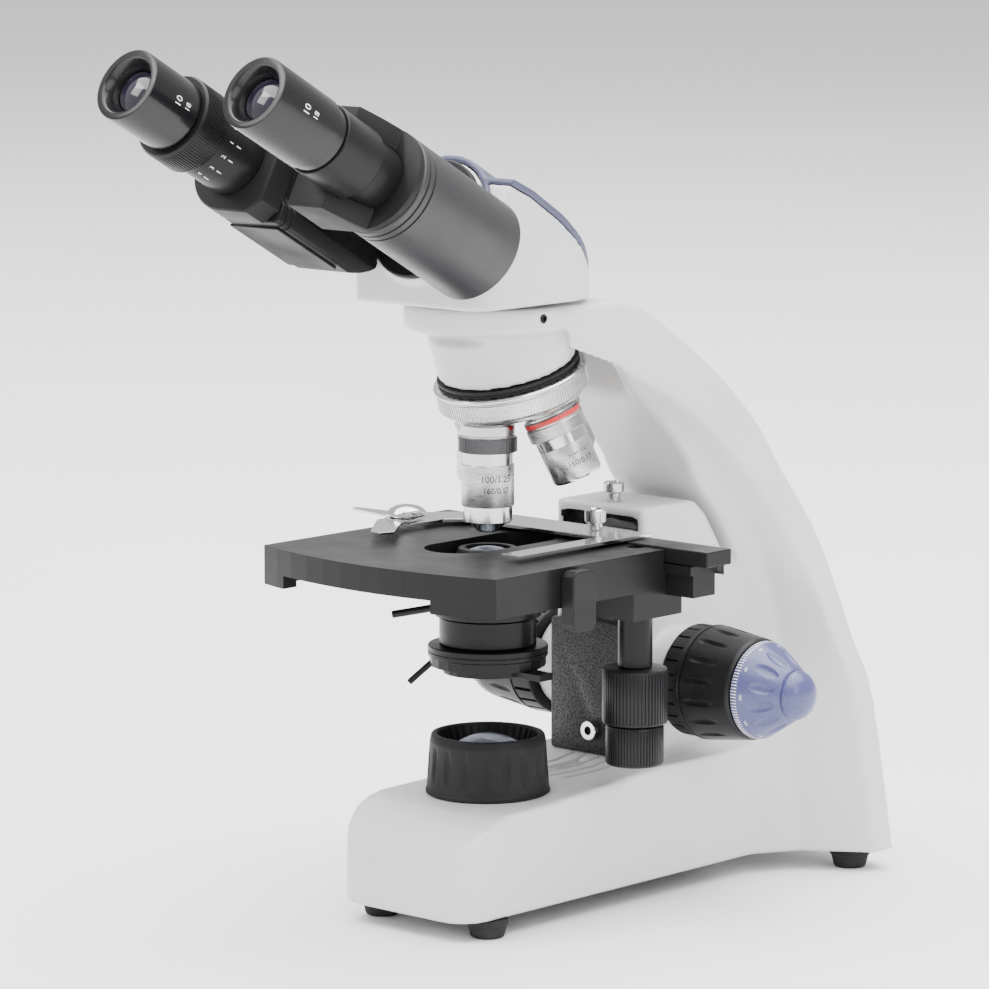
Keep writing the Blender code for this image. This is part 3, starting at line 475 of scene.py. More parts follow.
def dressNode(node, finishName, width=0.3):
    # a CAD node that keeps its shape: joined up, its edges eased, and given its finish
    piece = frame["nodes"][node]
    piece.data.materials.clear()
    piece.data.materials.append(finish[finishName])
    weld = piece.modifiers.new("weld", "WELD")
    weld.merge_threshold = 0.01 * mm
    flat = piece.modifiers.new("flat", "DECIMATE")
    flat.decimate_type = "DISSOLVE"
    flat.angle_limit = math.radians(0.5)
    if width:
        edge = piece.modifiers.new("edges", "BEVEL")
        edge.width = width * mm
        edge.segments = 2
        edge.limit_method = "ANGLE"
        edge.angle_limit = math.radians(35)
    for face in piece.data.polygons:
        face.use_smooth = False
    return piece


def wrapNumber(name, text, size, place, radiusAt, turn, height, finishName, body, upsideDown=False):
    # a printed number laid round a turned face, radiusAt gives the face's radius at a height, in mm
    clearSelection()
    bpy.ops.object.text_add()
    piece = bpy.context.object
    piece.name = name
    piece.data.body = text
    piece.data.size = size * mm
    piece.data.extrude = 0.06 * mm
    piece.data.align_x = "CENTER"
    bpy.ops.object.convert(target="MESH")
    bpy.ops.object.mode_set(mode="EDIT")
    bpy.ops.mesh.select_all(action="SELECT")
    bpy.ops.mesh.quads_convert_to_tris()
    bpy.ops.object.mode_set(mode="OBJECT")
    sense = -1 if upsideDown else 1
    for vertex in piece.data.vertices:
        across, up, out = vertex.co / mm
        level = height + sense * up
        radius = radiusAt(level) + out + 0.02
        angle = turn + sense * across / radiusAt(level)
        vertex.co = Vector((radius * math.cos(angle), radius * math.sin(angle), level)) * mm
    painted(piece, finishName)
    return putInPlace(piece, place, body)


def turnTowards(place, azimuth):
    # angle about a place's own Z that faces a viewer standing at that azimuth
    viewer = Vector((math.sin(math.radians(azimuth)), -math.cos(math.radians(azimuth)), 0.1))
    local = place.to_3x3().inverted() @ viewer
    return math.atan2(local.y, local.x)


standLook = {"voxel": 1.5, "easing": 6, "vents": 5, "ventPitch": 7.0, "ventBow": 5.0, "ventHalf": 1.1,
             "ventStart": 31, "ventStep": 3, "windowHalf": 21.5, "coverEdge": 0.5}


def makeStand():
    stand = castSurface(cadCopy("stand_casting", "standShell"), standLook["voxel"], standLook["easing"])
    for row in range(standLook["vents"]):
        side = standLook["ventPitch"] * (row - 2)
        bend = []
        for step in range(13):
            bow = standLook["ventBow"] * (1 - (step / 8 - 1) ** 2)
            bend.append((side + bow, standLook["ventStart"] + standLook["ventStep"] * step))
        half = standLook["ventHalf"]
        outline = [(x - half, y) for x, y in bend] + [(x + half, y) for x, y in reversed(bend)]
        slot = outlinePiece("vent" + str(row), outline[::-1], [(42, 1), (70, 1)])
        slot.matrix_world = upright
        carved(stand, slot, solver="MANIFOLD")
    half = standLook["windowHalf"]
    front = boxMiddle("front_cover_plate").y / mm

    # painted shade: the enamel faces inside the window recess behind the front cover are given the matte
    # black finish
    def inWindow(c):
        return abs(c.x) < half and front + 1.2 < c.y < front + 12 and 117 < c.z < 161.8
    painted(stand, "enamel", [("matte", inWindow)])
    putInPlace(stand, Matrix.Identity(4), "stand", ["stand_casting"], 60)
    cover = cadCopy("front_cover_plate", "frontCover")
    softened(cover, standLook["coverEdge"])
    painted(cover, "leather")
    putInPlace(cover, Matrix.Identity(4), "stand", ["front_cover_plate"])


footLook = {"top": 8.8, "bottom": 6.4, "height": 7.7}


def makeFeet():
    top, bottom, height = footLook["top"], footLook["bottom"], footLook["height"]
    profile = [(0, height), (top - 0.4, height), (top, height - 0.4), (top, 5.6), (top - 0.6, 5.2)]
    profile += [(7.2, 1.0), (6.9, 0.4), (bottom, 0), (4.2, 0), (3.6, 0.6), (0, 0.6)]
    for corner in ("front_left", "front_right", "rear_left", "rear_right"):
        foot = spunPiece("foot_" + corner + "Rubber", profile, 64)
        painted(foot, "rubber")
        putInPlace(foot, uprightAt("foot_" + corner), "stand", ["foot_" + corner])


def socketScrew(name, radius, height, socket, place, body, node,
                finishName="chrome", stem=1.9, stemEnd=-9):
    # a cap screw with a round recess, its head's top at height above its own origin
    profile = [(0, height - 1.2), (socket, height - 1.2), (socket, height), (radius - 0.3, height)]
    profile += [(radius, height - 0.3), (radius, 0.2), (radius - 0.2, 0), (stem, 0), (stem, stemEnd),
                (0, stemEnd)]
    screw = spunPiece(name, profile, 48)

    def inRecess(c):
        # painted shade: the faces inside the round recess are given the matte black finish
        return height - 1.3 < c.z < height - 0.1 and math.hypot(c.x, c.y) < socket * 1.02
    painted(screw, finishName, [("matte", inRecess)])
    return putInPlace(screw, place, body, [node])


lampLook = {"flutes": 18, "depth": 1.0, "middle": 65.0, "halfLength": 7.6, "halfWidth": 1.9, "ribs": 36}


def makeLamp():
    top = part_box("illuminator_housing")[1].z / mm
    seat = 51.9
    profile = [(26.2, seat), (26.2, seat + 1.2), (25.9, seat + 1.6)]
    for step in range(25):
        profile.append((25.8 - 1.4 * step / 24, seat + 2.4 + (top - seat - 5.2) * step / 24))
    profile += [(24.2, top - 2.4), (24.0, top - 0.9), (23.5, top - 0.2), (22.9, top), (22.0, top),
                (21.5, top - 0.3)]
    profile += [(21.2, top - 1.0), (19.3, top - 6.0), (18.9, 66), (18.9, 57), (16.4, 57), (16.4, 34),
                (20, 34)]
    profile += [(20, seat)]
    housing = spunPiece("lampHousing", profile, lampLook["flutes"] * 12)
    dimpled(housing, lampLook["flutes"], lampLook["middle"], lampLook["halfLength"], lampLook["halfWidth"],
            lampLook["depth"], 22)

    def innerRib(c):
        turn = (math.atan2(c.y, c.x) / math.tau * lampLook["ribs"]) % 1
        return top - 6 < c.z < top - 1.1 and math.hypot(c.x, c.y) < 21.3 and turn < 0.34
    insetWhere(housing, innerRib, 0.1, 0.7)
    painted(housing, "matte")
    putInPlace(housing, upright, "stand", ["illuminator_housing"])
    dome = [(0, top - 0.6)]
    for step in range(1, 17):
        angle = math.radians(44 * step / 16)
        dome.append((25.2 * math.sin(angle), top - 25.8 + 25.2 * math.cos(angle)))
    dome += [(18.0, top - 8.2), (18.0, 57.4), (0, 57.4)]
    lens = spunPiece("lampLensDome", dome, 96)
    painted(lens, "lampLens", [("white", lambda c: c.z < 57.6)])
    putInPlace(lens, upright, "stand", ["collector_lens"], 40)
    dressNode("led_board", "board", 0.1)
    dressNode("base_plate", "plate", 0.3)


coarseLook = {"dimples": 16, "depth": 1.2, "middle": 57.6, "halfLength": 7.2, "halfWidth": 1.5,
              "notches": 24}
fineLook = {"dimples": 12, "depth": 1.3, "middle": 85.0, "halfLength": 4.6, "halfWidth": 2.5, "ticks": 100,
            "numbers": 10}


def makeFocusKnobs():
    for side, name in ((1, "right"), (-1, "left")):
        inner = 46.6 if side > 0 else 36.8
        profile = [(24.0, inner), (24.6, inner + 0.6), (24.7, inner + 1.4), (24.7, 47.4), (24.1, 47.8),
                   (24.1, 48.6)]
        profile += [(24.6, 49)]
        for step in range(1, 25):
            profile.append((24.6 - 2.8 * step / 24, 49 + 22.4 * step / 24))
        profile += [(21.4, 72.2), (20.9, 72.7), (18.2, 72.7), (18, 72.4), (18, 66), (3.6, 66), (3.6, inner)]
        knob = spunPiece("coarseKnob" + name.capitalize(), profile, 288)
        dimpled(knob, coarseLook["dimples"], coarseLook["middle"], coarseLook["halfLength"],
                coarseLook["halfWidth"], coarseLook["depth"], 18.5)

        def notch(c):
            turn = (math.atan2(c.y, c.x) / math.tau * coarseLook["notches"]) % 1
            return inner + 1.2 < c.z < 47.5 and math.hypot(c.x, c.y) > 24.4 and turn < 0.26
        if side < 0:
            insetWhere(knob, notch, 0.02, -0.9)
        painted(knob, "knobBlack")
        putInPlace(knob, knobPlace(side), "coarse_drive", ["coarse_knob_" + name], 40)
        cap = [(0, 99.6), (2.2, 99.5), (4.4, 99.1), (6.4, 98.3), (8.2, 97.0), (9.6, 95.3), (10.4, 93.6),
               (10.6, 92.8)]
        cap += [(10.5, 92.5), (10.1, 92.3), (10.1, 91.9), (10.8, 91.6)]
        for step in range(1, 41):
            share = step / 40
            cap.append((10.8 + 9.3 * share ** 0.9, 91.6 - 14.8 * share))
        cap += [(20.5, 76.2), (20.8, 75.6), (20.8, 73.6), (20.4, 73.1), (17.4, 73.1), (17.4, 66.6),
                (3, 66.6)]
        cap += [(3, 0.4), (0, 0.4)]
        fine = spunPiece("fineKnob" + name.capitalize(), cap, 300)
        dimpled(fine, fineLook["dimples"], fineLook["middle"], fineLook["halfLength"],
                fineLook["halfWidth"], fineLook["depth"])
        marks = fineLook["ticks"]

        def tick(c):
            turn = (math.atan2(c.y, c.x) / math.tau * marks) % 1
            return 73.7 < c.z < 75.9 and math.hypot(c.x, c.y) > 20.5 and turn < 0.34
        painted(fine, "blue", [("white", tick)])
        putInPlace(fine, knobPlace(side), "fine_drive", ["fine_knob_" + name], 40)

        def scaleRadius(height):
            return 20.1 - (height - 76.8) * 0.62
        for index in range(fineLook["numbers"]):
            turn = math.tau * index / fineLook["numbers"]
            wrapNumber("fineScale" + name.capitalize() + str(index), str(20 * index), 1.9, knobPlace(side),
                       scaleRadius, turn, 77.5, "white", "fine_drive")
    ring = [(23.2, 36.8), (23.8, 37.4), (24, 38), (24, 44.8), (23.8, 45.4), (23.2, 46.2), (8.6, 46.2),
            (8.6, 36.8)]
    collar = spunPiece("tensionRing", ring, 144)
    ribbed(collar, 38.0, 44.8, 23.5, 144, 0.9, 6, 0.2)
    painted(collar, "matte")
    putInPlace(collar, knobPlace(1), "tension", ["tension_collar"])
    dressNode("coarse_shaft", "steel", 0)
    dressNode("focus_slide", "steel", 0.2)


objectiveLook = {"knurl": 90, "depth": 0.22}
# place on the turret, barrel radius, height of the print in mm, and the printed power and aperture
objectivePrints = [(0, 11.1, 23.2, "100/1.25"), (1, 10.75, 19.4, "4/0.10"),
                   (2, 10.6, 21.4, "10/0.25"), (3, 10.6, 22.4, "40/0.65")]


def makeNosepiece():
    mount = [(30.2, 18.9), (30.2, 17.9), (29.7, 17.6), (29.7, 17.2), (30.2, 16.9), (30.2, 16.4),
             (12, 16.4), (12, 18.9)]
    ring = spunPiece("nosepieceRing", mount, 128)
    painted(ring, "matte")
    putInPlace(ring, turretPlace, "stand", ["nosepiece_mount"])
    slope = math.tan(turretTilt)

    def under(radius):
        return slope * (radius - objectiveCircle) + 0.3
    turret = [(30.6, 16.1), (31.9, 15.8), (32.5, 15.2), (32.6, 14.4), (32.3, 13.9), (31.6, 13.7),
              (31.6, 13.3)]
    turret += [(32, 13.0), (32, 6.6), (31.6, 6.2), (30.6, 5.6), (29.8, 5.0), (29.4, under(29.4) + 0.4)]
    turret += [(29.0, under(29.0)), (7, under(7)), (4, under(7) - 0.8), (4, 8.5), (27.5, 12.5), (27.5, 16.1)]
    disc = spunPiece("turretDisc", turret, 300)
    ribbed(disc, 6.7, 12.9, 31.7, 300, 0.4, 2, 0.05)
    painted(disc, "aluminium")
    putInPlace(disc, turretPlace, "nosepiece", ["nosepiece_turret"])


def objectiveTube(name, node, quarter, profile, bands, knurls):
    tube = spunPiece(name, profile, objectiveLook["knurl"] * 2)
    for low, high, least in knurls:
        ribbed(tube, low, high, least, objectiveLook["knurl"] * 2, objectiveLook["depth"], 2, 0.05)
    painted(tube, "steel", bands)
    return putInPlace(tube, objectivePlace(quarter), "nosepiece", [node])


def colourRing(name, low, high, least):
    return (name, ringBand(low, high, least))


def makeObjectives():
    thread = [(3.4, -4.2), (9.8, -4.2), (9.8, 0), (10.9, 0), (11.2, 0.3)]
    hundred = thread + [(11.3, 4.0), (10.9, 4.3), (10.9, 4.8), (12.0, 5.1), (12.3, 5.5), (12.3, 11.0),
                        (12.0, 11.3)]
    hundred += [(10.5, 11.5), (10.5, 16.4), (11.1, 16.6), (11.1, 19.6), (11.0, 19.7), (11.0, 20.1),
                (11.1, 20.2)]
    hundred += [(11.1, 33.6), (10.9, 34.0), (10.3, 34.1), (10.3, 40.4), (9.7, 41.0), (8.1, 41), (8.1, 30),
                (3.4, 30)]
    objectiveTube("objectiveOil", "objective_100x", 0, hundred,
                  [colourRing("darkGrip", 5.1, 11.4, 11.9), colourRing("chrome", 34.05, 41.1, 8.0),
                   colourRing("chrome", -1, 4.1, 11.0), colourRing("chrome", 11.3, 16.5, 10.4)],
                  [(5.6, 10.9, 12.2)])
    nose = [(7.7, 33.5), (7.7, 41.2), (7.4, 41.6), (5.2, 43.9), (4.9, 44.4), (3.6, 45.0), (3.2, 45.0),
            (1.9, 44.6)]
    nose += [(1.6, 44.4), (1.6, 33.5)]
    tip = spunPiece("oilNose", nose, 96)
    painted(tip, "chrome")
    putInPlace(tip, objectivePlace(0), "spring_nose", ["nose_100x"])

    four = thread + [(11.3, 1.0), (12.0, 1.2), (12.2, 1.6), (12.2, 3.4), (12.0, 3.6), (12.0, 4.2),
                     (12.3, 4.4)]
    four += [(12.5, 4.7), (12.5, 9.6), (12.2, 9.9), (11.0, 10.2), (11.0, 14.4), (10.8, 14.6), (10.8, 15.0)]
    four += [(10.9, 15.2), (10.6, 28.9), (10.1, 29.8), (9.8, 30), (8, 30), (8, 27), (3.4, 27)]
    objectiveTube("objectiveScan", "objective_4x", 1, four,
                  [colourRing("red", 2.4, 3.5, 11.9), colourRing("darkGrip", 1.0, 2.4, 11.2),
                   colourRing("chrome", 9.9, 14.5, 10.9), colourRing("chrome", 27, 30.2, 7.9)],
                  [(4.8, 9.5, 12.4)])

    ten = thread + [(11.1, 2.8), (11.9, 3.0), (12.2, 3.3), (12.2, 9.8), (11.9, 10.1), (10.8, 10.4),
                    (10.8, 14.0)]
    ten += [(10.7, 14.1), (10.7, 14.6), (10.8, 14.7), (10.8, 16.6), (10.6, 17), (10.6, 30.8), (10.2, 31.4)]
    ten += [(8.1, 35.6), (8, 36), (8, 37.6), (7.6, 38), (5, 38), (5, 35), (3.4, 35)]
    objectiveTube("objectiveLow", "objective_10x", 2, ten,
                  [colourRing("yellow", 14.7, 16.5, 10.7), colourRing("chrome", 31.5, 38.2, 4.9)],
                  [(3.4, 9.7, 12.0)])

    forty = thread + [(11.1, 2.8), (11.9, 3.0), (12.2, 3.3), (12.2, 9.8), (11.9, 10.1), (10.8, 10.4),
                      (10.8, 14.0)]
    forty += [(10.7, 14.1), (10.7, 14.6), (10.8, 14.7), (10.8, 16.6), (10.7, 17), (10.6, 34.8), (10.2, 35.6)]
    forty += [(8.5, 39.8), (8.3, 40.2), (8.2, 42.6), (5.8, 44.5), (5.4, 44.7), (4, 44.7), (4, 42), (3.4, 42)]
    objectiveTube("objectiveHigh", "objective_40x", 3, forty,
                  [colourRing("skyBlue", 14.7, 16.5, 10.7), colourRing("chrome", 35.6, 44.8, 3.9)],
                  [(3.4, 9.7, 12.0)])
    for quarter, radius, height, power in objectivePrints:
        place = objectivePlace(quarter)
        turn = turnTowards(place, printAzimuth) - 0.35
        for name, text, size, rise in (("printPower", power, 4.0, 0), ("printTube", "160/0.17", 3.4, 4.6)):
            wrapNumber(name + str(quarter), text, size, place, lambda level: radius, turn, height + rise,
                       "print", "nosepiece", True)


headLook = {"voxel": 0.95, "easing": 5, "trimVoxel": 0.7, "trimEasing": 3}


def makeHead():
    body = castSurface(cadCopy("head_housing", "headShell"), headLook["voxel"], headLook["easing"])
    painted(body, "enamel")
    putInPlace(body, Matrix.Identity(4), "head", ["head_housing"], 60)
    trim = castSurface(cadCopy("head_trim", "headTrimShell"), headLook["trimVoxel"], headLook["trimEasing"])
    painted(trim, "trim")
    putInPlace(trim, Matrix.Identity(4), "head", ["head_trim"], 60)
    profile = [(0, 61.2), (7.2, 61.2), (7.8, 60.8), (8, 60.4), (8, 58.7), (6, 58.6), (6, 2.6), (25.8, 2.6),
               (26.4, 2.2)]
    profile += [(26.4, 0.3), (26.1, 0), (6, 0), (6, -18), (0, -18)]
    flange = spunPiece("pivotFlange", profile, 128)
    painted(flange, "anodised")
    putInPlace(flange, pivotPlace, "head", ["pivot_flange"])


def armHub(name, side, low, high, body, nodes):
    # the ring that swivels on the pin, and the web that reaches out to the tube
    reach = Vector((side * tubeSide, tubeDrop, 0)).normalized()
    outline = arcPoints((0, 0), 11.6, 50, 310, 24) + [(20, -8.9), (20, 8.9)]
    stations = [(low + 0.3, 0.97), (low + 0.7, 1.0), (high - 0.7, 1.0), (high - 0.3, 0.97)]
    hub = outlinePiece(name, outline, stations)
    carved(hub, spunPiece("pinHole", [(0, low - 5), (0, high + 5), (6.3, high + 5), (6.3, low - 5)], 48))
    painted(hub, "matte")
    place = pivotPlace @ placeAt((0, 0, 0), (0, 0, 1), (reach.x, reach.y, 0))
    return putInPlace(hub, place, body, nodes)


def makeArms():
    end = 67.0
    profile = [(0, 3), (20.9, 3), (21.3, 3.1), (21.9, 3.7), (22, 4.1), (22, 59.5), (21.4, 59.7),
               (21.4, 60.4)]
    profile += [(22, 60.6), (22, 62.9), (21.4, 63.1), (21.4, 63.8), (22, 64), (22, 66.3), (21.6, 66.8),
                (21.2, end)]
    profile += [(10, end), (10, 64), (0, 64)]
    right = spunPiece("rightPrismCase", profile, 144)
    painted(right, "greyPaint")
    putInPlace(right, rightTube, "right_arm", ["right_prism_housing"])
    armHub("rightHub", 1, 3, 30, "right_arm", ["right_prism_housing"])
    outline = arcPoints((0, 0), 22, 90, 258, 60) + [(21.5, -20.8), (23, -19.4), (23, -13.2), (18.6, -8.4)]
    outline += [(18.6, 8), (12, 18)]
    stations = [(3.0, 0.985), (3.5, 1.0), (59.5, 1.0), (59.7, 0.975), (60.4, 0.975), (60.6, 1.0),
                (62.9, 1.0)]
    stations += [(63.1, 0.975), (63.8, 0.975), (64.0, 1.0), (66.5, 1.0), (end, 0.98)]
    left = outlinePiece("leftPrismCase", outline, stations)
    rear = [(3, -34), (3, -9), (6, -12.4), (9.5, -15.6), (13.5, -18.2), (18, -20.4), (24, -22.1), (24, -34)]
    rounding = outlinePiece("rearRounding", rear, [(-40, 1), (40, 1)])
    rounding.matrix_world = placeAt((0, 0, 0), (-1, 0, 0), (0, 0, 1))
    carved(left, rounding)
    softened(left, 0.35, 2, 40)
    painted(left, "matte")
    putInPlace(left, leftTube, "left_arm", ["left_prism_housing"])
    armHub("leftHub", -1, 30.6, 58, "left_arm", ["left_prism_housing"])
    dressNode("left_arm_cover", "matte", 0.4)


tubeLook = {"ribs": 90, "depth": 0.28}


def makeTubes():
    outline = arcPoints((0, 0), 22, -90, 90, 48) + [(-21, 22), (-22, 21), (-22, -21), (-21, -22)]
    block = outlinePiece("rightTubeBlock", outline, [(67.3, 0.985), (67.7, 1.0), (89.5, 1.0), (90, 0.98)])
    slope = outlinePiece("slope", [(5, 70.3), (40, 70.3), (40, 110), (-9.7, 110)], [(-40, 1), (40, 1)])
    slope.matrix_world = placeAt((0, 0, 0), (0, -1, 0), (1, 0, 0))
    carved(block, slope)
    bore = spunPiece("bore", [(0, 60), (0, 120), (13.4, 120), (13.4, 60)], 96)
    carved(block, bore)
    softened(block, 0.5, 2, 35)
    painted(block, "matte")
    putInPlace(block, rightTube, "right_arm", ["right_tube"])
    neck = [(11.6, 67.3), (13.2, 67.3), (13.2, 84), (14.6, 84.2), (15.1, 84.8), (15.2, 85.4),
            (15.2, 106.5), (14.9, 106.9)]
    neck += [(11.6, 106.9)]
    rightNeck = spunPiece("rightTubeSleeve", neck, 128)
    painted(rightNeck, "anodised")
    putInPlace(rightNeck, rightTube, "right_arm", ["right_tube"])
    outline = arcPoints((0, 0), 22, 90, 270, 48) + [(16, -22), (22, -16), (22, 12), (12, 22)]
    leftBlock = outlinePiece("leftTubeBlock", outline, [(67.3, 0.985), (67.7, 1.0), (78.2, 1.0), (79, 0.96)])
    softened(leftBlock, 0.4, 2, 35)
    carved(leftBlock, spunPiece("leftBore", [(0, 60), (0, 120), (14.6, 120), (14.6, 60)], 96))
    painted(leftBlock, "matte")
    putInPlace(leftBlock, leftTube, "left_arm", ["left_tube"])
    sleeve = [(11.6, 67.3), (14.4, 67.3), (14.4, 79.2), (15.2, 79.4), (15.5, 79.8), (15.5, 103.4),
              (15.3, 103.8), (11.6, 103.8)]
    scale = spunPiece("leftTubeSleeve", sleeve, 128)
    painted(scale, "anodised")
    putInPlace(scale, leftTube, "left_arm", ["left_tube"])
    for index, number in enumerate("01234"):
        turn = turnTowards(leftTube, printAzimuth) + 0.75 - 0.42 * index
        wrapNumber("diopterNumber" + number, number, 3.0, leftTube, lambda level: 15.5, turn, 97.2,
                   "white", "left_arm")
        stroke = [(-0.2, 0), (0.2, 0), (0.2, 2.6), (-0.2, 2.6)]
        mark = outlinePiece("diopterMark" + number, stroke, [(-0.06, 1), (0.06, 1)])
        reach = Matrix.Rotation(turn, 4, "Z") @ placeAt((15.53 * mm, 0, 92.6 * mm), (1, 0, 0), (0, 1, 0))
        painted(mark, "white")
        putInPlace(mark, leftTube @ reach, "left_arm")
    ring = [(15.7, 104.2), (17.4, 104.2), (17.9, 104.6), (18, 105), (18, 117.9), (17.8, 118.4),
            (17.2, 119), (11.6, 119)]
    ring += [(11.6, 110), (15.7, 110)]
    diopter = spunPiece("diopterGrip", ring, tubeLook["ribs"] * 2)
    ribbed(diopter, 105.1, 117.8, 17.8, tubeLook["ribs"] * 2, tubeLook["depth"], 2, 0.06)
    painted(diopter, "anodised")
    putInPlace(diopter, leftTube, "diopter", ["diopter_ring"])


eyepieceLook = {"radius": 15.3, "prints": [("Power", "10", 4.6, 130.4), ("Field", "18", 3.6, 125.2)]}


def makeEyepiece(side, place, shoulder):
    arm = side + "_arm"
    radius = eyepieceLook["radius"]
    gap = shoulder + 4.6 if side == "right" else shoulder + 0.4
    profile = [(9.0, 139.2), (9.2, 141.4), (11.7, 146.2), (12.0, 146.7), (12.5, 147), (14.6, 147),
               (15.1, 146.8)]
    profile += [(radius, 146.3), (radius, gap + 0.4), (15.0, gap), (14.2, gap), (14.2, shoulder),
                (11.2, shoulder)]
    profile += [(11.2, 100), (8.2, 100), (8.2, 139.2)]
    shell = spunPiece(side + "EyepieceShell", profile, 160)
    painted(shell, "eyepiece")
    putInPlace(shell, place, arm, [side + "_eyepiece"])
    turn = turnTowards(place, printAzimuth) + 0.45
    for name, text, size, height in eyepieceLook["prints"]:
        wrapNumber(side + name, text, size, place, lambda level: radius, turn, height,
                   "white", arm)
    dome = [(0, 143.4)]
    for step in range(1, 9):
        angle = math.radians(4.2 * step)
        dome.append((16 * math.sin(angle), 127.4 + 16 * math.cos(angle)))
    dome += [(8.9, 140.6), (8.9, 139.7), (0, 139.7)]
    lens = spunPiece(side + "EyeLensDome", dome, 96)
    painted(lens, "eyeLens", [("matte", lambda c: c.z < 139.8)])
    putInPlace(lens, place, arm, [side + "_eye_lens"], 40)


# finish and width of the eased edge, mm, of each node that keeps its own shape
stageLook = {"stage_plate": ("anodised", 0.5), "stage_carrier": ("anodised", 0.4),
             "stage_side_bracket": ("matte", 0.6), "x_rail": ("anodised", 0.5),
             "slide_holder": ("chrome", 0.2), "slide_finger": ("chrome", 0.2),
             "vernier_scale": ("aluminium", 0.2)}


def makeStage():
    for node, (finishName, width) in stageLook.items():
        dressNode(node, finishName, width)
    cap = [(0, 166.6), (2.4, 166.5), (4.8, 166.0), (6.8, 165.1), (8.1, 163.9), (8.6, 162.8), (8.6, 162.0),
           (8.4, 161.8)]
    cap += [(2, 161.8), (2, 158.2), (0, 158.2)]
    button = spunPiece("fingerCapDome", cap, 72)
    painted(button, "chrome")
    putInPlace(button, uprightAt("finger_cap"), "specimen_holder", ["finger_cap"], 50)
    thumb = [(0, 168.6), (2.8, 168.6), (3.1, 169), (4.0, 169), (4.5, 168.5), (4.5, 163.8), (4.2, 163.4),
             (3, 162.8)]
    thumb += [(3, 160.5), (2.8, 160.3), (0, 160.3)]
    screw = spunPiece("holderThumbScrew", thumb, 96)
    ribbed(screw, 163.9, 168.4, 4.4, 96, 0.22, 3, 0.04)
    painted(screw, "chrome")
    putInPlace(screw, uprightAt("holder_screw"), "specimen_holder", ["holder_screw"])
    stop = [(0, 173.8), (2.6, 173.8), (3.0, 174.4), (3.9, 174.4), (4.4, 173.8), (4.4, 170.3), (4.1, 169.9),
            (3, 169.4)]
    stop += [(3, 166.3), (2, 166.3), (2, 159.4), (0, 159.4)]
    knurled = spunPiece("focusStopKnob", stop, 96)
    ribbed(knurled, 170.4, 173.7, 4.3, 96, 0.22, 3, 0.04)
    painted(knurled, "chrome")
    putInPlace(knurled, uprightAt("focus_stop_screw"), "focus_stop", ["focus_stop_screw"])


driveLook = {"flutes": 28, "depth": 0.45}


def makeStageDrive():
    knobX, knobY = joints["y_knob_turn"]["pos_m"][:2]
    place = Matrix.Translation((knobX, knobY, 0))
    tube = [(7.3, 128.7), (7.3, 107.0), (7.1, 106.8), (4.8, 106.8), (4.8, 128.7)]
    column = spunPiece("driveSleeve", tube, 96)
    painted(column, "anodised")
    putInPlace(column, place, "stage", ["drive_column"])
    upper = [(12.6, 106.4), (13.4, 106.0), (13.8, 105.2), (13.8, 84.0), (13.4, 83.2), (12.6, 82.8),
             (3.5, 82.8), (3.5, 120)]
    upper += [(4.4, 120), (4.4, 106.4)]
    yKnob = spunPiece("stageYGrip", upper, driveLook["flutes"] * 6)
    ribbed(yKnob, 84.1, 105.1, 13.4, driveLook["flutes"] * 6, driveLook["depth"], 3, 0.1)
    painted(yKnob, "knobBlack")
    putInPlace(yKnob, place, "y_drive", ["y_drive_knob"])
    lower = [(0, 150), (3, 150), (3, 82.4), (11.2, 82.4), (11.9, 82.0), (12.2, 81.2), (12.2, 66.6),
             (11.9, 65.8), (11.2, 65.4)]
    lower += [(7, 65.4), (6.6, 66.0), (0, 66.0)]
    xKnob = spunPiece("stageXGrip", lower, driveLook["flutes"] * 6)
    ribbed(xKnob, 66.7, 81.1, 12, driveLook["flutes"] * 6, driveLook["depth"], 3, 0.1)
    painted(xKnob, "knobBlack")
    putInPlace(xKnob, place, "x_drive", ["x_drive_knob"])


condenserLook = {"barrel": 17.9, "leverEdge": 0.2, "rodReach": 26}


def makeCondenser():
    barrel = condenserLook["barrel"]
    body = [(12, 155.4), (12.3, 155.2), (13.8, 152), (13.8, 149.4), (barrel, 147), (barrel, 126.4),
            (20.4, 126.0), (20.4, 115.4)]
    body += [(20.1, 115), (24.9, 114.6), (25.2, 114.2), (25.2, 112.4), (24.8, 112.2), (24.8, 111.9),
             (25.2, 111.7)]
    body += [(25.2, 110.3), (24.9, 110), (14, 110), (14, 144), (9.6, 149), (9.6, 155.4)]
    shell = spunPiece("condenserShell", body, 128)
    painted(shell, "anodised")
    putInPlace(shell, upright, "condenser", ["condenser_body"])
    dome = [(0, 155.9), (2.5, 155.8), (5, 155.4), (7.4, 154.7), (9.2, 153.6), (9.2, 151.2), (0, 151.2)]
    lens = spunPiece("condenserTopLens", dome, 96)
    painted(lens, "lens", [("matte", lambda c: c.z < 151.3)])
    putInPlace(lens, upright, "condenser", ["condenser_lens"], 40)
    lever = cadCopy("condenser_lever", "condenserLeverRod")
    softened(lever, condenserLook["leverEdge"])
    rodStart = opticalY / mm - condenserLook["rodReach"]
    painted(lever, "anodised", [("steel", lambda c: c.y < rodStart)])
    putInPlace(lever, Matrix.Identity(4), "condenser_focus", ["condenser_lever"])
    dressNode("iris_ring", "anodised", 0)
    dressNode("filter_holder", "anodised", 0.3)


dialLook = {"sides": 120, "every": 3, "depth": 0.35}


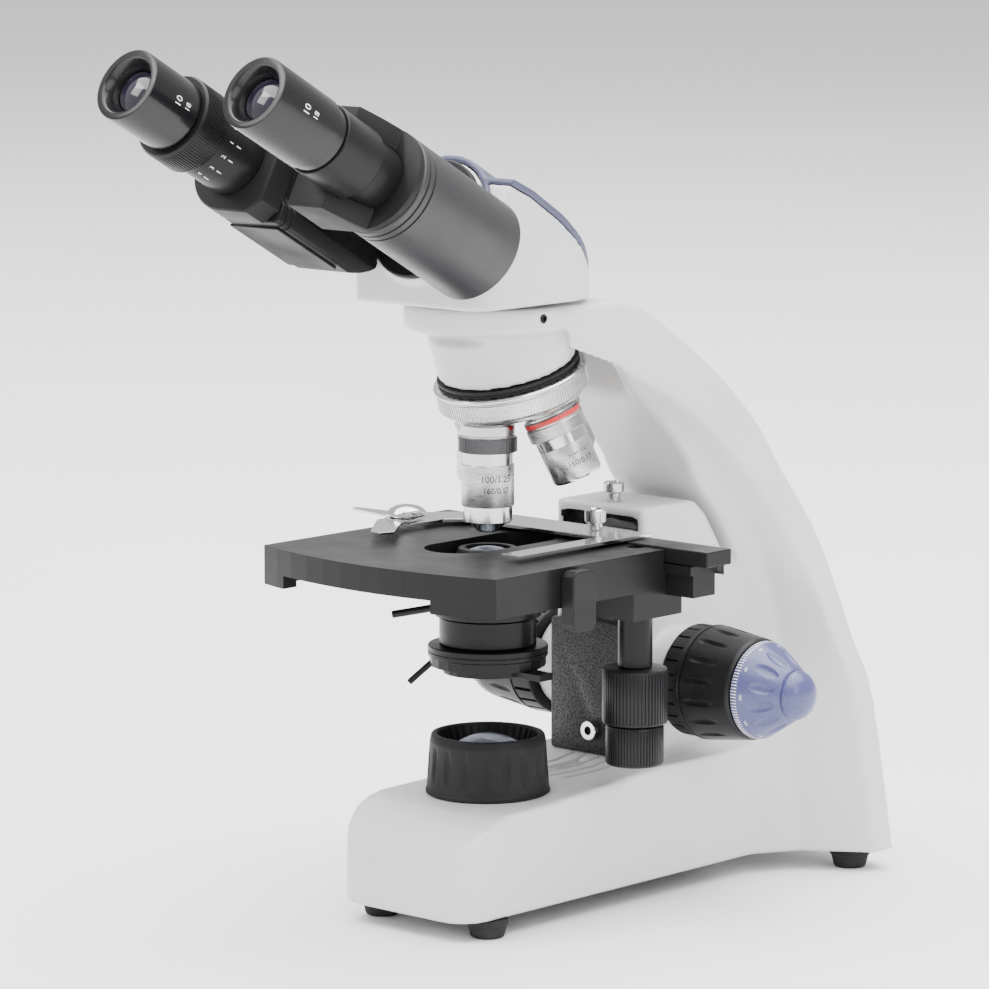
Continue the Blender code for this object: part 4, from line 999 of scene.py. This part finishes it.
def makeElectrics():
    dressNode("dc_inlet", "matte", 0.3)
    dressNode("power_switch", "knobBlack", 0.3)
    place = placeAt(joints["dimmer_turn"]["pos_m"], (-1, 0, 0), (0, 1, 0))
    face = [(0, 6.4), (6.6, 6.4), (7.0, 7.0), (8.4, 7.0), (9, 6.2), (9, -1.6), (8.7, -1.8), (3.1, -1.8),
            (3.1, -12), (0, -12)]
    dial = spunPiece("dimmerGrip", face, dialLook["sides"])
    ribbed(dial, -1.4, 6.0, 8.8, dialLook["sides"], dialLook["depth"], dialLook["every"], 0.08)
    painted(dial, "knobBlack")
    putInPlace(dial, place, "dimmer", ["brightness_dial"])


screwLook = {"coverHead": 2.9, "lockHead": 2.2}  # heights of the heads, mm


def makeScrews():
    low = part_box("front_cover_screw")[0]
    middle = boxMiddle("front_cover_screw")
    head = screwLook["coverHead"]
    place = placeAt((middle.x, low.y + head * mm, middle.z), (0, -1, 0), (1, 0, 0))
    socketScrew("coverScrewHead", 4.2, head, 2.0, place, "stand", "front_cover_screw")
    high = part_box("head_lock_screw")[1]
    middle = boxMiddle("head_lock_screw")
    head = screwLook["lockHead"]
    place = placeAt((high.x - head * mm, middle.y, middle.z), (1, 0, 0), (0, 1, 0))
    socketScrew("lockScrewHead", 1.9, head, 1.0, place, "head_lock", "head_lock_screw",
                "anodised", 1.85, -7)


cameraLook = {"azimuth": 42.47, "elevation": 8.15, "distance": 2.023, "lens": 176.87,
              "shift": (0.0067, -0.0299), "aim": 0.190}
roomLook = {"floor": (0.92, 0.92, 0.92), "floorSize": 60, "sky": 0.9}
# place, size in metres and power in watts of each softbox; all of them face the middle of the part
softboxes = {"ceilingSoftbox": ((0, 0, 3.0), (5.0, 5.0), 450),
             "keySoftbox": ((-0.9, -1.3, 1.5), (0.9, 0.9), 14),
             "sideSoftbox": ((1.6, -0.3, 0.9), (0.7, 1.2), 9), "topSoftbox": ((0.1, 0.4, 1.8), (1.2, 0.8),
                                                                              10)}


def makeRoom():
    clearSelection()
    bpy.ops.mesh.primitive_plane_add(size=roomLook["floorSize"], location=(0, 0, -0.0002))
    floor = bpy.context.object
    floor.name = "floor"
    made, shader = newFinish("paleFloor", roomLook["floor"], 0.55)
    cloud = noiseOn(made, 3, 2)
    spread(made, cloud.outputs["Fac"], 0.5, 0.62, shader.inputs["Roughness"])
    floor.data.materials.append(made)
    world = bpy.data.worlds.new("studio")
    world.use_nodes = True
    world.node_tree.nodes["Background"].inputs["Color"].default_value = (1, 1, 1, 1)
    world.node_tree.nodes["Background"].inputs["Strength"].default_value = roomLook["sky"]
    bpy.context.scene.world = world


def addLamp(name, place, aim, size, power):
    data = bpy.data.lights.new(name, "AREA")
    data.shape = "RECTANGLE"
    data.size, data.size_y = size
    data.energy = power
    lamp = bpy.data.objects.new(name, data)
    bpy.context.scene.collection.objects.link(lamp)
    lamp.location = place
    lamp.rotation_euler = (Vector(aim) - Vector(place)).to_track_quat("-Z", "Y").to_euler()


def makeLights():
    for name, (place, size, power) in softboxes.items():
        addLamp(name, place, (0, 0, 0.2), size, power)


def makeCamera():
    azimuth = math.radians(cameraLook["azimuth"])
    elevation = math.radians(cameraLook["elevation"])
    level = math.cos(elevation)
    back = Vector((math.sin(azimuth) * level, -math.cos(azimuth) * level, math.sin(elevation)))
    aim = Vector((0, opticalY, cameraLook["aim"]))
    data = bpy.data.cameras.new("studioCamera")
    data.sensor_width = 36
    data.lens = cameraLook["lens"]
    data.shift_x, data.shift_y = cameraLook["shift"]
    data.clip_end = 50
    camera = bpy.data.objects.new("studioCamera", data)
    bpy.context.scene.collection.objects.link(camera)
    camera.location = aim + back * cameraLook["distance"]
    camera.rotation_euler = (-back).to_track_quat("-Z", "Y").to_euler()
    bpy.context.scene.camera = camera


makeCamera()
makeRoom()
makeLights()
makeStand()
print("stand made")
makeFeet()
makeLamp()
makeFocusKnobs()
print("base, lamp and focus drive made")
makeNosepiece()
makeObjectives()
print("nosepiece made")
makeHead()
makeArms()
makeTubes()
makeEyepiece("right", rightTube, 107.4)
makeEyepiece("left", leftTube, 119.3)
print("head made")
makeStage()
makeStageDrive()
makeCondenser()
makeElectrics()
makeScrews()
print("stage, condenser and electrics made")

clearSelection()
